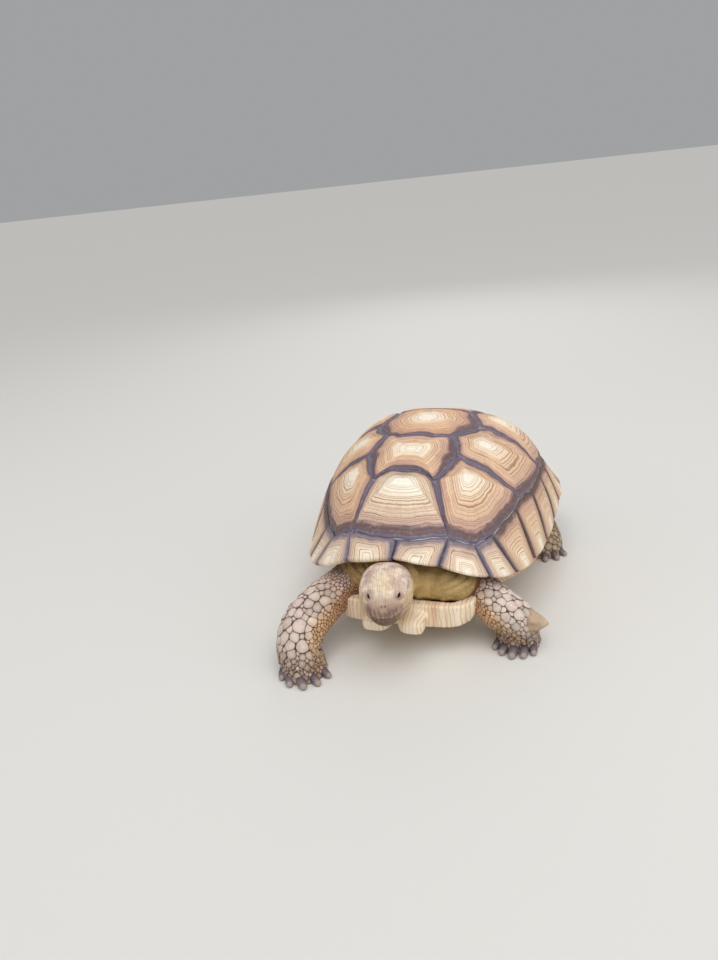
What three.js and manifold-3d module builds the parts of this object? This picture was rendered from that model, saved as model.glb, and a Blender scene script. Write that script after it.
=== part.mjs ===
// African spurred tortoise, walking, as a life-size model.
// Millimetres, +Z up, floor at Z = 0, head towards -Y, the tortoise's own left side at +X.
import * as THREE from 'three';
import { LoftGeometry } from 'three/addons/geometries/LoftGeometry.js';
import { mergeVertices } from 'three/addons/utils/BufferGeometryUtils.js';
import Module from 'manifold-3d';

const wasm = await Module();
wasm.setup();

// ---------------------------------------------------------------- driving dimensions
const SHELL_LENGTH = 524;        // straight carapace length
const SHELL_WIDTH = 402;         // straight carapace width
const SHELL_TOP = 288;           // highest point of the dome above the floor
const DOME_AXIS_Y = -3;          // where the dome's summit stands along the shell
const RIM_SQUARENESS = 2.86;     // exponent of the rim's superellipse
const RIM_TAPER = 0.14;          // the rear is this much broader than the mean, the front narrower
const RIM_HEIGHT = 110;          // mean height of the rim, then its three waves round the shell
const RIM_PITCH = 32;
const RIM_SADDLE = 3;
const RIM_WAVE = 18;
const DOME_FULLNESS_SIDE = 0.95; // exponents of the dome's plan and profile, at the sides and ends
const DOME_FULLNESS_END = 0.81;
const DOME_SHOULDER_SIDE = 1.02;
const DOME_SHOULDER_END = 1.07;
const FLARE_START = 0.72;        // the brim starts to turn out here, as a part of the radius
const FLARE_FRONT = 0.16;
const FLARE_SIDE = 0.03;
const FLARE_REAR = 0.17;
const SCALLOP = 4;               // how far each marginal plate bulges past its seams
const NUCHAL_NOTCH = 7;          // how far the front edge is drawn back over the neck
const NUCHAL_SPREAD = 24;        // and over how many degrees on each side
const PLATE_THICKNESS = 7;
const GAP = 0.3;                 // clearance between touching pieces
const CUT = 0.4;                 // width of the seam cuts

const PLASTRON_FLOOR = 50;       // underside of the plastron above the floor
const PLASTRON_THICKNESS = 14;
const PLASTRON_LIP = 36;         // height of the thick edge of its front lobe
const PLASTRON_FRONT = -252;
const PLASTRON_REAR = 222;

const EYE_RADIUS = 7.5;
const SOLE = 0;                  // floor level

// The bounding box of the whole animal is centred on the origin by this shift of the shell's axis.
const SHELL_SHIFT = new THREE.Vector3(-6.36, 51.85, 0);

const DEG = Math.PI / 180;
const v3 = (x, y, z) => new THREE.Vector3(x, y, z);

// ---------------------------------------------------------------- colours and finish
const FINISH = {
  plate: { color: 0xc9a477, roughness: 0.55, metalness: 0 },
  rim: { color: 0xd8bf94, roughness: 0.55, metalness: 0 },
  plastron: { color: 0xe2c793, roughness: 0.6, metalness: 0 },
  skin: { color: 0x9a845c, roughness: 0.8, metalness: 0 },
  scale: { color: 0xa8977f, roughness: 0.75, metalness: 0 },
  head: { color: 0xc3a98c, roughness: 0.7, metalness: 0 },
  eye: { color: 0x17120e, roughness: 0.15, metalness: 0 },
  claw: { color: 0x75665f, roughness: 0.5, metalness: 0 },
};

// ---------------------------------------------------------------- solids
function signedVolume(points, faces) {
  let volume = 0;
  for (let i = 0; i < faces.length; i += 3) {
    const [a, b, c] = [faces[i], faces[i + 1], faces[i + 2]].map((k) => v3().fromArray(points, 3 * k));
    volume += a.dot(b.cross(c)) / 6;
  }
  return volume;
}

// Shared vertices and no needle triangles.
function cleaned(geometry, tolerance) {
  const bare = new THREE.BufferGeometry();
  bare.setAttribute('position', geometry.attributes.position);
  bare.setIndex(geometry.index);
  const merged = mergeVertices(bare, tolerance);
  const index = merged.index.array;
  const faces = [];
  for (let i = 0; i < index.length; i += 3) {
    const [a, b, c] = [index[i], index[i + 1], index[i + 2]];
    if (a !== b && b !== c && c !== a) faces.push([a, b, c]);
  }
  return { points: merged.attributes.position.array, faces };
}

const bodyOf = ({ points, faces }) => new wasm.Manifold(new wasm.Mesh({
  numProp: 3,
  vertProperties: Float32Array.from(points),
  triVerts: Uint32Array.from(faces.flat()),
}));
const solid = (geometry) => bodyOf(cleaned(geometry, 1e-4));

function geometryOf(body) {
  const mesh = body.getMesh();
  const geometry = new THREE.BufferGeometry();
  geometry.setAttribute('position', new THREE.BufferAttribute(Float32Array.from(mesh.vertProperties), 3));
  geometry.setIndex(new THREE.BufferAttribute(Uint32Array.from(mesh.triVerts), 1));
  return geometry;
}

// Sections skinned into a solid. An end whose points are all one point needs no cap. Sections
// that wind the wrong way round are turned, so that the wall and its caps both face out.
const isTip = (section) => section[0].distanceTo(section[Math.floor(section.length / 2)]) < 1e-4;
const shrunk = (section) => {
  const middle = section.reduce((sum, point) => sum.add(point), v3()).divideScalar(section.length);
  return section.map(() => middle);
};

function loft(sections) {
  const closed = new LoftGeometry([shrunk(sections[0]), ...sections, shrunk(sections.at(-1))]);
  const insideOut = signedVolume(closed.attributes.position.array, closed.index.array) < 0;
  const turned = insideOut ? sections.map((section) => [...section].reverse()) : sections;
  const caps = { capStart: !isTip(sections[0]), capEnd: !isTip(sections.at(-1)) };
  return solid(new LoftGeometry(turned, caps));
}

// A thin wall, whose sections already wind the right way; a closed one comes round to its start.
const wall = (sections, closed) => solid(closed
  ? new LoftGeometry([...sections, sections[0]])
  : new LoftGeometry(sections, { capStart: true, capEnd: true }));

// The separate pieces of a body. Rebuilding it first frees pieces that only touch along an edge.
const piecesOf = (body) => bodyOf(cleaned(geometryOf(body), 1e-3)).decompose();

const join = (bodies) => bodies.reduce((all, body) => all.add(body));
const cutAway = (body, tools) => tools.reduce((rest, tool) => rest.subtract(tool), body);

function block(centre, size, turnZ = 0) {
  const geometry = new THREE.BoxGeometry(...size);
  geometry.rotateZ(turnZ);
  geometry.translate(...centre);
  return solid(geometry);
}

const smooth = (from, to, value) => THREE.MathUtils.smoothstep(value, from, to);
const power = (value, exponent) => Math.sign(value) * Math.abs(value) ** exponent;

// ---------------------------------------------------------------- the carapace as a surface
// A place on it is (rho, theta): rho is 0 at the summit and 1 on the rim, theta is 0 at the
// front and a quarter turn on the tortoise's left side.

// Seams between the marginal plates where they reach the rim, from the front, on the left side.
const RIM_SEAMS = [0, 16, 41, 57, 71, 83, 90.5, 99.5, 115, 131, 148, 168, 192].map((a) => a * DEG);

// How far the rim stands out past its plain outline: a bulge on each marginal, less the nuchal notch.
function scallop(theta) {
  const turn = Math.abs(THREE.MathUtils.euclideanModulo(theta + Math.PI, 2 * Math.PI) - Math.PI);
  const next = RIM_SEAMS.findIndex((seam) => seam > turn + 1e-9);
  const from = RIM_SEAMS[next - 1];
  const part = (turn - from) / (RIM_SEAMS[next] - from);
  const notch = NUCHAL_NOTCH * Math.exp(-((turn / DEG / NUCHAL_SPREAD) ** 2));
  return SCALLOP * Math.sin(Math.PI * part) * Math.cos(turn) ** 2 - notch;
}

function carapaceInside(rho, theta) {
  const s = Math.sin(theta);
  const c = Math.cos(theta);
  const rimX = SHELL_WIDTH / 2 * power(s, 2 / RIM_SQUARENESS) * (1 - RIM_TAPER * c);
  const rimY = -SHELL_LENGTH / 2 * power(c, 2 / RIM_SQUARENESS);
  const waves = RIM_SADDLE * Math.cos(2 * theta) + RIM_WAVE * Math.cos(3 * theta);
  const rimZ = RIM_HEIGHT + RIM_PITCH * c + waves;
  const end = c * c;
  const fullness = THREE.MathUtils.lerp(DOME_FULLNESS_SIDE, DOME_FULLNESS_END, end);
  const shoulder = THREE.MathUtils.lerp(DOME_SHOULDER_SIDE, DOME_SHOULDER_END, end);
  const flare = THREE.MathUtils.lerp(FLARE_SIDE, c > 0 ? FLARE_FRONT : FLARE_REAR, Math.abs(c));
  const angle = rho * Math.PI / 2;
  const brim = Math.max((rho - FLARE_START) / (1 - FLARE_START), 0) ** 2;
  const reach = Math.sin(angle) ** fullness * (1 - flare) + flare * brim;
  const rise = Math.max(Math.cos(angle), 0) ** shoulder;
  const edge = scallop(theta) * smooth(0.86, 1, rho);
  return v3(
    reach * rimX + edge * s,
    DOME_AXIS_Y + reach * (rimY - DOME_AXIS_Y) - edge * c,
    THREE.MathUtils.lerp(rimZ, SHELL_TOP, rise) - edge * 0.5,
  );
}

// Past the rim the surface runs on straight.
function carapaceBare(rho, theta) {
  if (rho <= 1) return carapaceInside(Math.max(rho, 1e-3), theta);
  const rim = carapaceInside(1, theta);
  const before = carapaceInside(0.98, theta);
  return rim.clone().addScaledVector(rim.clone().sub(before), (rho - 1) / 0.02);
}

function carapaceNormal(rho, theta) {
  const at = THREE.MathUtils.clamp(rho, 0.02, 0.97);
  const outward = carapaceInside(at + 0.01, theta).sub(carapaceInside(at - 0.01, theta));
  const round = carapaceInside(at, theta + 0.02).sub(carapaceInside(at, theta - 0.02));
  return outward.cross(round).normalize();
}

const carapace = (rho, theta, lift = 0) => carapaceBare(rho, theta)
  .addScaledVector(carapaceNormal(rho, theta), lift);
const onDisc = (u, v) => ({ rho: Math.hypot(u, v), theta: Math.atan2(u, v) });
const carapaceAt = (u, v, lift = 0) => carapace(onDisc(u, v).rho, onDisc(u, v).theta, lift);

// ---------------------------------------------------------------- the seams of the carapace
// Where the seams meet, on the unit disc: u to the left, v to the front.
const MID_SEAM_V = { first: 0.422, second: 0.144, third: -0.168, fourth: -0.45 };
const RIDGE = [
  [0.313, 0.775], [0.225, 0.64], [0.153, 0.483], [0.252, 0.246], [0.187, 0.114],
  [0.271, -0.005], [0.182, -0.118], [0.24, -0.3], [0.15, -0.42], [0.336, -0.72],
];
const PLEURAL_SEAMS = [
  { from: [0.252, 0.246], reach: 76 * DEG },
  { from: [0.271, -0.005], reach: 94 * DEG },
  { from: [0.24, -0.3], reach: 121 * DEG },
];
const CROSS_SEAMS = [
  { side: [0.153, 0.483], mid: MID_SEAM_V.first },
  { side: [0.187, 0.114], mid: MID_SEAM_V.second },
  { side: [0.182, -0.118], mid: MID_SEAM_V.third },
  { side: [0.15, -0.42], mid: MID_SEAM_V.fourth },
];
// Radius of the seam between the large plates and the marginals, by angle in degrees.
const GIRDLE = [[0, 0.886], [22, 0.836], [37, 0.857], [50, 0.805], [63, 0.75], [76, 0.705], [90, 0.715],
  [101, 0.742], [116, 0.752], [140, 0.78], [160, 0.8], [180, 0.8]];
const GIRDLE_SEAMS = [0, 22, 37, 50, 71, 85, 91.5, 101, 116, 131, 147, 165].map((a) => a * DEG);

function girdle(theta) {
  const turn = Math.abs(THREE.MathUtils.euclideanModulo(theta + Math.PI, 2 * Math.PI) - Math.PI) / DEG;
  const next = Math.max(1, GIRDLE.findIndex(([angle]) => angle >= turn));
  const [a0, r0] = GIRDLE[next - 1];
  const [a1, r1] = GIRDLE[next];
  return r0 + (r1 - r0) * (turn - a0) / (a1 - a0);
}

// The cuts through the shell all point at its heart, which keeps each stretch of a cut flat.
const HEART = v3(0, 0, 70);

// A cut along a line of disc places: a thin wall from above the shell to below it.
function seamCut(places, { above = 16, below = 3.6 * PLATE_THICKNESS, width = CUT, closed = false } = {}) {
  const middle = places.map(([u, v]) => carapaceAt(u, v));
  const count = places.length;
  const sections = places.map(([u, v], i) => {
    const next = closed ? (i + 1) % count : Math.min(i + 1, count - 1);
    const last = closed ? (i + count - 1) % count : Math.max(i - 1, 0);
    const along = middle[next].clone().sub(middle[last]);
    const ray = middle[i].clone().sub(HEART).normalize();
    const side = along.cross(ray).setLength(width / 2);
    const top = carapaceAt(u, v).addScaledVector(ray, above);
    const bottom = carapaceAt(u, v).addScaledVector(ray, -below);
    return [top.clone().add(side), bottom.clone().add(side), bottom.clone().sub(side), top.clone().sub(side)];
  });
  return wall(sections, closed);
}

// Places along straight stretches of the disc, with a little overrun at both ends.
function stretch(corners, steps, overrun = 0.02) {
  const places = [];
  const ends = corners.map((corner) => new THREE.Vector2(...corner));
  const first = ends[0].clone().sub(ends[1]).setLength(overrun).add(ends[0]);
  const last = ends.at(-1).clone().sub(ends.at(-2)).setLength(overrun).add(ends.at(-1));
  ends[0] = first;
  ends[ends.length - 1] = last;
  for (let i = 0; i + 1 < ends.length; i += 1) {
    for (let k = 0; k < steps; k += 1) places.push(ends[i].clone().lerp(ends[i + 1], k / steps).toArray());
  }
  places.push(last.toArray());
  return places;
}

const polar = (rho, theta) => [rho * Math.sin(theta), rho * Math.cos(theta)];
const mirrored = (places) => places.map(([u, v]) => [-u, v]);
const onBothSides = (places, options) => [seamCut(places, options), seamCut(mirrored(places), options)];

// The girdle is cut along these angles, which take in the ends of the seams above it.
const GIRDLE_TURNS = [0, 11, 22, 37, 50, 63, 76, 85, 94, 101, 110, 121, 131, 143, 155, 168, 180];
function girdleCut() {
  const back = GIRDLE_TURNS.slice(1, -1).reverse().map((a) => 360 - a);
  const places = [...GIRDLE_TURNS, ...back].map((a) => polar(girdle(a * DEG), a * DEG));
  return seamCut(places, { closed: true });
}

const MARGINAL_GROUP_SEAMS = [3, 7, 11];   // the rim is parted into groups after these plates
const marginalSeam = (i) => {
  const top = polar(girdle(GIRDLE_SEAMS[i]), GIRDLE_SEAMS[i]);
  return stretch([top, polar(1.02, RIM_SEAMS[i])], 2);
};

function carapaceCuts() {
  const cuts = [girdleCut(), seamCut(stretch([polar(girdle(0), 0), polar(1.02, 0)], 2))];
  cuts.push(...onBothSides(stretch(RIDGE, 1)));
  for (const seam of PLEURAL_SEAMS) {
    cuts.push(...onBothSides(stretch([seam.from, polar(girdle(seam.reach), seam.reach)], 2)));
  }
  for (const { side, mid } of CROSS_SEAMS) {
    cuts.push(seamCut(stretch([side, [side[0] * 0.45, mid + 0.01], [0, mid], [-side[0] * 0.45, mid + 0.01],
      [-side[0], side[1]]], 1)));
  }
  for (const i of MARGINAL_GROUP_SEAMS) cuts.push(...onBothSides(marginalSeam(i)));
  return cuts;
}

// Shallow grooves between the plates of one group.
function marginalGrooves() {
  const grooves = [];
  for (let i = 1; i < 11; i += 1) {
    const isParted = MARGINAL_GROUP_SEAMS.includes(i);
    if (!isParted) grooves.push(...onBothSides(marginalSeam(i), { below: 1.5, width: 1.6 }));
  }
  return grooves;
}

// Rings round the shell: one vertex on each rim seam and one between two seams.
const RING_TURNS = (() => {
  const left = RIM_SEAMS.slice(0, 12).flatMap((seam, i) => {
    const isStraight = i >= 3 && i < 10;
    return isStraight ? [seam] : [seam, (seam + Math.min(RIM_SEAMS[i + 1], Math.PI)) / 2];
  });
  return [...left, Math.PI, ...left.slice(1).reverse().map((a) => 2 * Math.PI - a)];
})();
const summit = (lift) => v3(0, DOME_AXIS_Y, SHELL_TOP + lift);
const ring = (rho, lift) => RING_TURNS.map((theta) => (rho ? carapace(rho, theta, lift) : summit(lift)));
const OUTER_RINGS = [0, 0.24, 0.47, 0.7, 0.87, 1];
const INNER_RINGS = [0, 0.42, 0.7, 0.87, 1];

// The carapace before its plates are parted, grown by a margin on all sides.
function rind(grow = 0) {
  const inner = INNER_RINGS.map((rho) => ring(rho, -PLATE_THICKNESS - grow));
  const outer = OUTER_RINGS.map((rho) => ring(rho, grow)).reverse();
  const past = 1 + grow * 0.006;
  const edge = grow ? [ring(past, -PLATE_THICKNESS - grow), ring(past, grow)] : [];
  return loft([...inner, ...edge, ...outer]);
}

const PLATE_CENTRES = {
  vertebral_1: [0, 0.65], vertebral_2: [0, 0.28], vertebral_3: [0, -0.01], vertebral_4: [0, -0.3],
  vertebral_5: [0, -0.64],
  pleural_left_1: [0.42, 0.44], pleural_left_2: [0.48, 0.06], pleural_left_3: [0.46, -0.2],
  pleural_left_4: [0.38, -0.5],
};
const MARGINAL_GROUPS = { front: [0, 57], bridge: [57, 99.5], rear: [99.5, 168] };

// Each piece left by the cuts takes the name whose middle lies nearest.
function namedPieces(bodies, centres) {
  const named = {};
  for (const body of bodies) {
    const { min, max } = body.boundingBox();
    const middle = v3(...min).add(v3(...max)).multiplyScalar(0.5);
    const [name] = Object.entries(centres)
      .map(([key, centre]) => [key, centre.distanceTo(middle)])
      .sort((a, b) => a[1] - b[1])[0];
    named[name] = body;
  }
  return named;
}

function carapacePlates() {
  const centres = { supracaudal: carapace(0.9, Math.PI) };
  for (const [name, [u, v]] of Object.entries(PLATE_CENTRES)) {
    centres[name] = carapaceAt(u, v);
    if (u) centres[name.replace('left', 'right')] = carapaceAt(-u, v);
  }
  for (const [name, [from, to]] of Object.entries(MARGINAL_GROUPS)) {
    const theta = (from + to) / 2 * DEG;
    centres[`marginals_${name}_left`] = carapace(0.88, theta);
    centres[`marginals_${name}_right`] = carapace(0.88, -theta);
  }
  const grooved = cutAway(rind(), marginalGrooves());
  return namedPieces(piecesOf(cutAway(grooved, carapaceCuts())), centres);
}

// ---------------------------------------------------------------- the plastron
// The rim above a place along the shell: its angle on the left side.
function rimTurn(y) {
  const part = THREE.MathUtils.clamp(-y / (SHELL_LENGTH / 2), -1, 1);
  return Math.acos(power(part, RIM_SQUARENESS / 2));
}

// Half-width of the plastron's lobes along y, without the bridges.
const LOBE_WIDTHS = [[-252, 62], [-249, 84], [-242, 99], [-228, 110], [-190, 117], [-140, 124], [-60, 140],
  [60, 136], [110, 122], [160, 110], [190, 98], [208, 78], [222, 52]];

function lobeWidth(y) {
  const next = THREE.MathUtils.clamp(LOBE_WIDTHS.findIndex(([at]) => at >= y), 1, LOBE_WIDTHS.length - 1);
  const [y0, w0] = LOBE_WIDTHS[next - 1];
  const [y1, w1] = LOBE_WIDTHS[next];
  return w0 + (w1 - w0) * THREE.MathUtils.clamp((y - y0) / (y1 - y0), 0, 1);
}

// One section across the plastron: a tray whose edge climbs to the rim along the bridge.
function plastronSection(y, grow = 0) {
  const bridge = smooth(-152, -88, y) * (1 - smooth(62, 122, y));
  const turn = rimTurn(y);
  const rimUnder = carapace(1, turn, -PLATE_THICKNESS / 2);
  const lip = PLASTRON_LIP - 18 * smooth(-210, 100, y);
  const edgeX = THREE.MathUtils.lerp(lobeWidth(y), rimUnder.x - 1, bridge) + grow;
  const edgeZ = THREE.MathUtils.lerp(PLASTRON_FLOOR + lip, rimUnder.z + 4, bridge) + grow;
  const flatX = THREE.MathUtils.lerp(lobeWidth(y) - 9, 112, bridge);
  const floorZ = PLASTRON_FLOOR - grow;
  const thickness = THREE.MathUtils.lerp(22, 11, bridge) + 2 * grow;
  const innerFlat = Math.max(flatX - thickness, 5);
  const innerHeight = THREE.MathUtils.lerp(lip, PLASTRON_THICKNESS, smooth(-240, -208, y));
  const innerZ = PLASTRON_FLOOR + innerHeight + grow;
  const lower = [];
  const upper = [];
  for (let k = 0; k <= 3; k += 1) {
    const phi = k / 3 * Math.PI / 2;
    const [round, rise] = [Math.sin(phi), 1 - Math.cos(phi)];
    lower.push([flatX + (edgeX - flatX) * round, floorZ + (edgeZ - floorZ) * rise]);
    upper.push([innerFlat + (edgeX - thickness - innerFlat) * round, innerZ + (edgeZ - innerZ) * rise]);
  }
  const half = [...lower, ...upper.reverse()];
  const left = half.map(([x, z]) => v3(x, y, z));
  const right = half.map(([x, z]) => v3(-x, y, z)).reverse();
  return [...left, ...right];
}

const PLASTRON_STATIONS = [-252, -248, -238, -222, -200, -152, -130, -110, -90, -20, 62, 82, 102, 122, 160,
  190, 208, 222];

// The forked gular plate's prongs: root, shoulder and blunt tip of each.
function gularProng(side, grow = 0) {
  const stations = [
    { at: [25, -222, 66], half: [20, 12] },
    { at: [25, -262, 65], half: [20, 12] },
    { at: [28, -280, 66], half: [17, 9.5] },
    { at: [30, -288, 67], half: [10, 5] },
  ];
  const sections = stations.map(({ at, half }, i) => {
    const shift = i === 0 ? grow : -grow;
    const points = [];
    for (let k = 0; k < 12; k += 1) {
      const turn = k / 12 * 2 * Math.PI;
      points.push(v3(
        side * at[0] + (half[0] + grow) * power(Math.cos(turn), 0.6),
        at[1] + shift,
        at[2] + (half[1] + grow) * power(Math.sin(turn), 0.6),
      ));
    }
    return points;
  });
  return loft(sections);
}

function plastronWhole(grow = 0) {
  const stations = PLASTRON_STATIONS.map((y, i) => {
    const last = PLASTRON_STATIONS.length - 1;
    const y1 = y + (i === last ? grow : 0) - (i === 0 ? grow : 0);
    return plastronSection(y1, grow);
  });
  return join([loft(stations), gularProng(1, grow), gularProng(-1, grow)]);
}

const PLASTRON_SEAMS = { humeral: -142, pectoral: -92, abdominal: 66 };
const GULAR_HALF_WIDTH = 52;
const GULAR_TIP_Y = -178;
const ANAL_SEAM_Y = 140;
const ANAL_NOTCH_DEPTH = 34;

function plastronPlates() {
  const cuts = Object.values(PLASTRON_SEAMS).map((y) => block([0, y, 90], [520, CUT, 160]));
  const gularRun = PLASTRON_FRONT - GULAR_TIP_Y;
  for (const side of [1, -1]) {
    const length = 3 * GULAR_HALF_WIDTH;
    const turn = Math.atan2(gularRun, side * GULAR_HALF_WIDTH);
    const along = new THREE.Vector2(Math.cos(turn), Math.sin(turn)).multiplyScalar(length / 2 - 1);
    cuts.push(block([along.x, GULAR_TIP_Y + along.y, 70], [length, CUT, 90], turn));
    const slope = side * 20 * DEG;
    cuts.push(block([side * 70, ANAL_SEAM_Y + 70 * Math.tan(20 * DEG), 70], [150, CUT, 90], slope));
  }
  const notch = new THREE.Shape();
  notch.moveTo(0, PLASTRON_REAR - ANAL_NOTCH_DEPTH);
  notch.lineTo(44, PLASTRON_REAR + 5);
  notch.lineTo(-44, PLASTRON_REAR + 5);
  const notchTool = new THREE.ExtrudeGeometry(notch, { depth: 120, bevelEnabled: false });
  const whole = plastronWhole().subtract(solid(notchTool)).subtract(rind(GAP));
  const centres = {
    plastron_gular: v3(0, -235, 65), plastron_humeral: v3(0, -197, 65), plastron_pectoral: v3(0, -117, 70),
    plastron_abdominal: v3(0, -13, 80), plastron_femoral: v3(0, 126, 65), plastron_anal: v3(0, 182, 60),
  };
  return namedPieces(piecesOf(cutAway(whole, cuts)), centres);
}

// ---------------------------------------------------------------- flesh
// Points evenly round an ellipse, from its two half-axes.
function ringAround(middle, side, up, wide, high, count, squareness = 1) {
  const points = [];
  for (let k = 0; k < count; k += 1) {
    const turn = (k + 0.5) / count * 2 * Math.PI;
    points.push(middle.clone().addScaledVector(side, wide * power(Math.cos(turn), squareness))
      .addScaledVector(up, high * power(Math.sin(turn), squareness)));
  }
  return points;
}

// A round or oval limb along a smooth path. Each station is its middle, its half-width across
// and its half-depth along the hint direction.
function limb(stations, hint = v3(0, -1, 0), { sides = 9, steps = 7 } = {}) {
  const path = new THREE.CatmullRomCurve3(stations.map(({ at }) => v3(...at)), false, 'centripetal');
  const widths = new THREE.SplineCurve(stations.map(({ half }) => new THREE.Vector2(...half)));
  const sections = [];
  for (let i = 0; i <= steps; i += 1) {
    const t = i / steps;
    const middle = path.getPoint(t);
    const along = path.getTangent(t);
    const deep = hint.clone().addScaledVector(along, -hint.dot(along)).normalize();
    const across = along.clone().cross(deep);
    const size = widths.getPoint(t);
    sections.push(ringAround(middle, across, deep, size.x, size.y, sides));
  }
  return loft(sections);
}

// The soft body inside the shell. Its roof follows the carapace from within, and its belly, drawn in
// a little at each level, ends inside the plastron.
const BODY_ROOF = [0, 0.42, 0.72, 0.84];
const BODY_CLEARANCE = 3;
const BODY_BELLY = [{ reach: 0.985, z: 112 }, { reach: 0.95, z: 84 }, { reach: 0.84, z: 58 }];

// Folds of loose skin beside the neck, which bulge out over the lip of the plastron.
const FOLDS = [
  { at: [64, -200, 105], half: [50, 42, 28] },
  { at: [-64, -192, 105], half: [46, 38, 28] },
  { at: [36, -204, 108], half: [38, 38, 30] },
];

function fold({ at, half }, grow) {
  const ball = new THREE.SphereGeometry(1, 10, 6);
  ball.scale(...half.map((size) => size + grow));
  ball.translate(...at);
  return solid(ball);
}

function softBody(grow = 0) {
  const roof = BODY_ROOF.map((rho) => ring(rho, grow - PLATE_THICKNESS - BODY_CLEARANCE));
  const belly = BODY_BELLY.map(({ reach, z }) => roof.at(-1).map(({ x, y }) => {
    const spread = reach + grow / 100;
    return v3(x * spread, y * spread, z - grow);
  }));
  return join([loft([...roof, ...belly]), ...FOLDS.map((place) => fold(place, grow))]);
}

// A leg's claws leave the foot over the angle spread about heading, and point over the angle fan
// about aim, in degrees. The forefeet are turned in.
const LEGS = {
  front_right: {
    stations: [
      { at: [-58, -150, 104], half: [34, 36] }, { at: [-93, -214, 89], half: [32, 32] },
      { at: [-118, -259, 76], half: [34, 33] }, { at: [-136, -294, 57], half: [35, 33] },
      { at: [-138, -315, 32], half: [34, 34] }, { at: [-131, -322, 10], half: [34, 35] },
      { at: [-130, -323, -14], half: [35, 36] },
    ],
    foot: [-130, -321], claws: 5, heading: -78, spread: 132, aim: -52, fan: 52,
  },
  front_left: {
    stations: [
      { at: [66, -140, 100], half: [36, 34] }, { at: [110, -184, 80], half: [31, 30] },
      { at: [146, -203, 58], half: [32, 31] }, { at: [167, -201, 38], half: [31, 31] },
      { at: [167, -195, 18], half: [32, 32] }, { at: [168, -191, -14], half: [35, 35] },
    ],
    foot: [168, -192], claws: 5, heading: -94, spread: 100, aim: -96, fan: 30,
  },
  rear_left: {
    stations: [
      { at: [84, 136, 112], half: [50, 52] }, { at: [126, 122, 86], half: [42, 46] },
      { at: [158, 102, 52], half: [34, 38] }, { at: [174, 95, 18], half: [33, 36] },
      { at: [175, 94, -14], half: [35, 38] },
    ],
    foot: [174, 95], claws: 4, heading: -66, spread: 80, aim: -66, fan: 80,
  },
  rear_right: {
    stations: [
      { at: [-84, 140, 112], half: [50, 52] }, { at: [-124, 162, 86], half: [42, 46] },
      { at: [-150, 186, 50], half: [34, 38] }, { at: [-162, 198, 16], half: [33, 36] },
      { at: [-163, 199, -14], half: [35, 38] },
    ],
    foot: [-162, 198], claws: 4, heading: -112, spread: 80, aim: -112, fan: 80,
  },
};
// Pointed spurs of skin: one at the left elbow and two behind each thigh.
const SPURS = {
  front_left: [{ root: [175, -204, 44], tip: [214, -210, 50], half: 26 }],
  rear_left: [
    { root: [128, 152, 82], tip: [134, 186, 74], half: 11 },
    { root: [148, 140, 66], tip: [160, 168, 56], half: 8 },
  ],
  rear_right: [
    { root: [-128, 192, 82], tip: [-136, 226, 74], half: 11 },
    { root: [-150, 208, 64], tip: [-164, 236, 54], half: 8 },
  ],
};

function spur({ root: from, tip: to, half }) {
  const root = v3(...from);
  const tip = v3(...to);
  const out = tip.clone().sub(root).normalize();
  const side = v3(0, 0, 1).cross(out).normalize();
  const up = out.clone().cross(side);
  return loft([0, 0.6, 1].map((t) => {
    const radius = half * (1 - 0.85 * t);
    return ringAround(root.clone().lerp(tip, t), side, up, radius, radius, 8);
  }));
}

// A claw: a blunt, slightly hooked cone lying forward from the foot, resting on the floor.
// It leaves the foot at the foot's radius, and its root is set a little way inside.
const FOOT_RADIUS = 34;
const CLAW = { length: 23, width: 6.6, height: 6, set: 5, taper: 0.28, droop: 4 };
const CLAW_STATIONS = [{ t: 0, cap: 1 }, { t: 0.5, cap: 1 }, { t: 0.88, cap: 0.94 }, { t: 1, cap: 0.5 }];
function cone(root, out, start, size, grow = 0) {
  const side = v3(-out.y, out.x, 0);
  const sections = CLAW_STATIONS.map(({ t, cap }) => {
    const narrowed = size * cap * (1 - CLAW.taper * t * t);
    const middle = root.clone().addScaledVector(out, CLAW.length * size * (t || start));
    middle.z = SOLE + CLAW.height * size * (1 - CLAW.taper * t * t) + CLAW.droop * size * (1 - t) ** 2;
    const [wide, high] = [CLAW.width * narrowed + grow, CLAW.height * narrowed + grow];
    return ringAround(middle, side, v3(0, 0, 1), wide, high, 6);
  });
  return loft(sections);
}

function clawsOf(name) {
  const { foot, claws, heading, spread, aim, fan } = LEGS[name];
  const direction = (turn) => v3(Math.cos(turn * DEG), Math.sin(turn * DEG), 0);
  const list = [];
  for (let i = 0; i < claws; i += 1) {
    const part = i / (claws - 1) - 0.5;
    const size = 1 - 0.16 * Math.abs(part) * 2;
    const out = direction(aim + fan * part);
    const root = v3(...foot, 0).addScaledVector(direction(heading + spread * part), FOOT_RADIUS)
      .addScaledVector(out, -CLAW.set);
    list.push({
      node: `claw_${name}_${i + 1}`,
      shape: cone(root, out, 0, size),
      socket: cone(root, out, -0.02, size, GAP),
    });
  }
  return list;
}

// ---------------------------------------------------------------- head and neck
// The head's own frame: its middle, and the forward, left and up directions.
const HEAD = { at: v3(0, -292, 127), yaw: 13.5 * DEG, pitch: -4 * DEG, roll: 0.5 * DEG };
const HEAD_AXES = (() => {
  const angles = new THREE.Euler(HEAD.pitch, HEAD.roll, HEAD.yaw, 'ZXY');
  const turn = new THREE.Matrix4().makeRotationFromEuler(angles);
  return {
    forward: v3(0, -1, 0).applyMatrix4(turn),
    left: v3(1, 0, 0).applyMatrix4(turn),
    up: v3(0, 0, 1).applyMatrix4(turn),
  };
})();
const inHead = (s, l, u) => HEAD.at.clone().addScaledVector(HEAD_AXES.forward, s)
  .addScaledVector(HEAD_AXES.left, l).addScaledVector(HEAD_AXES.up, u);

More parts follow.
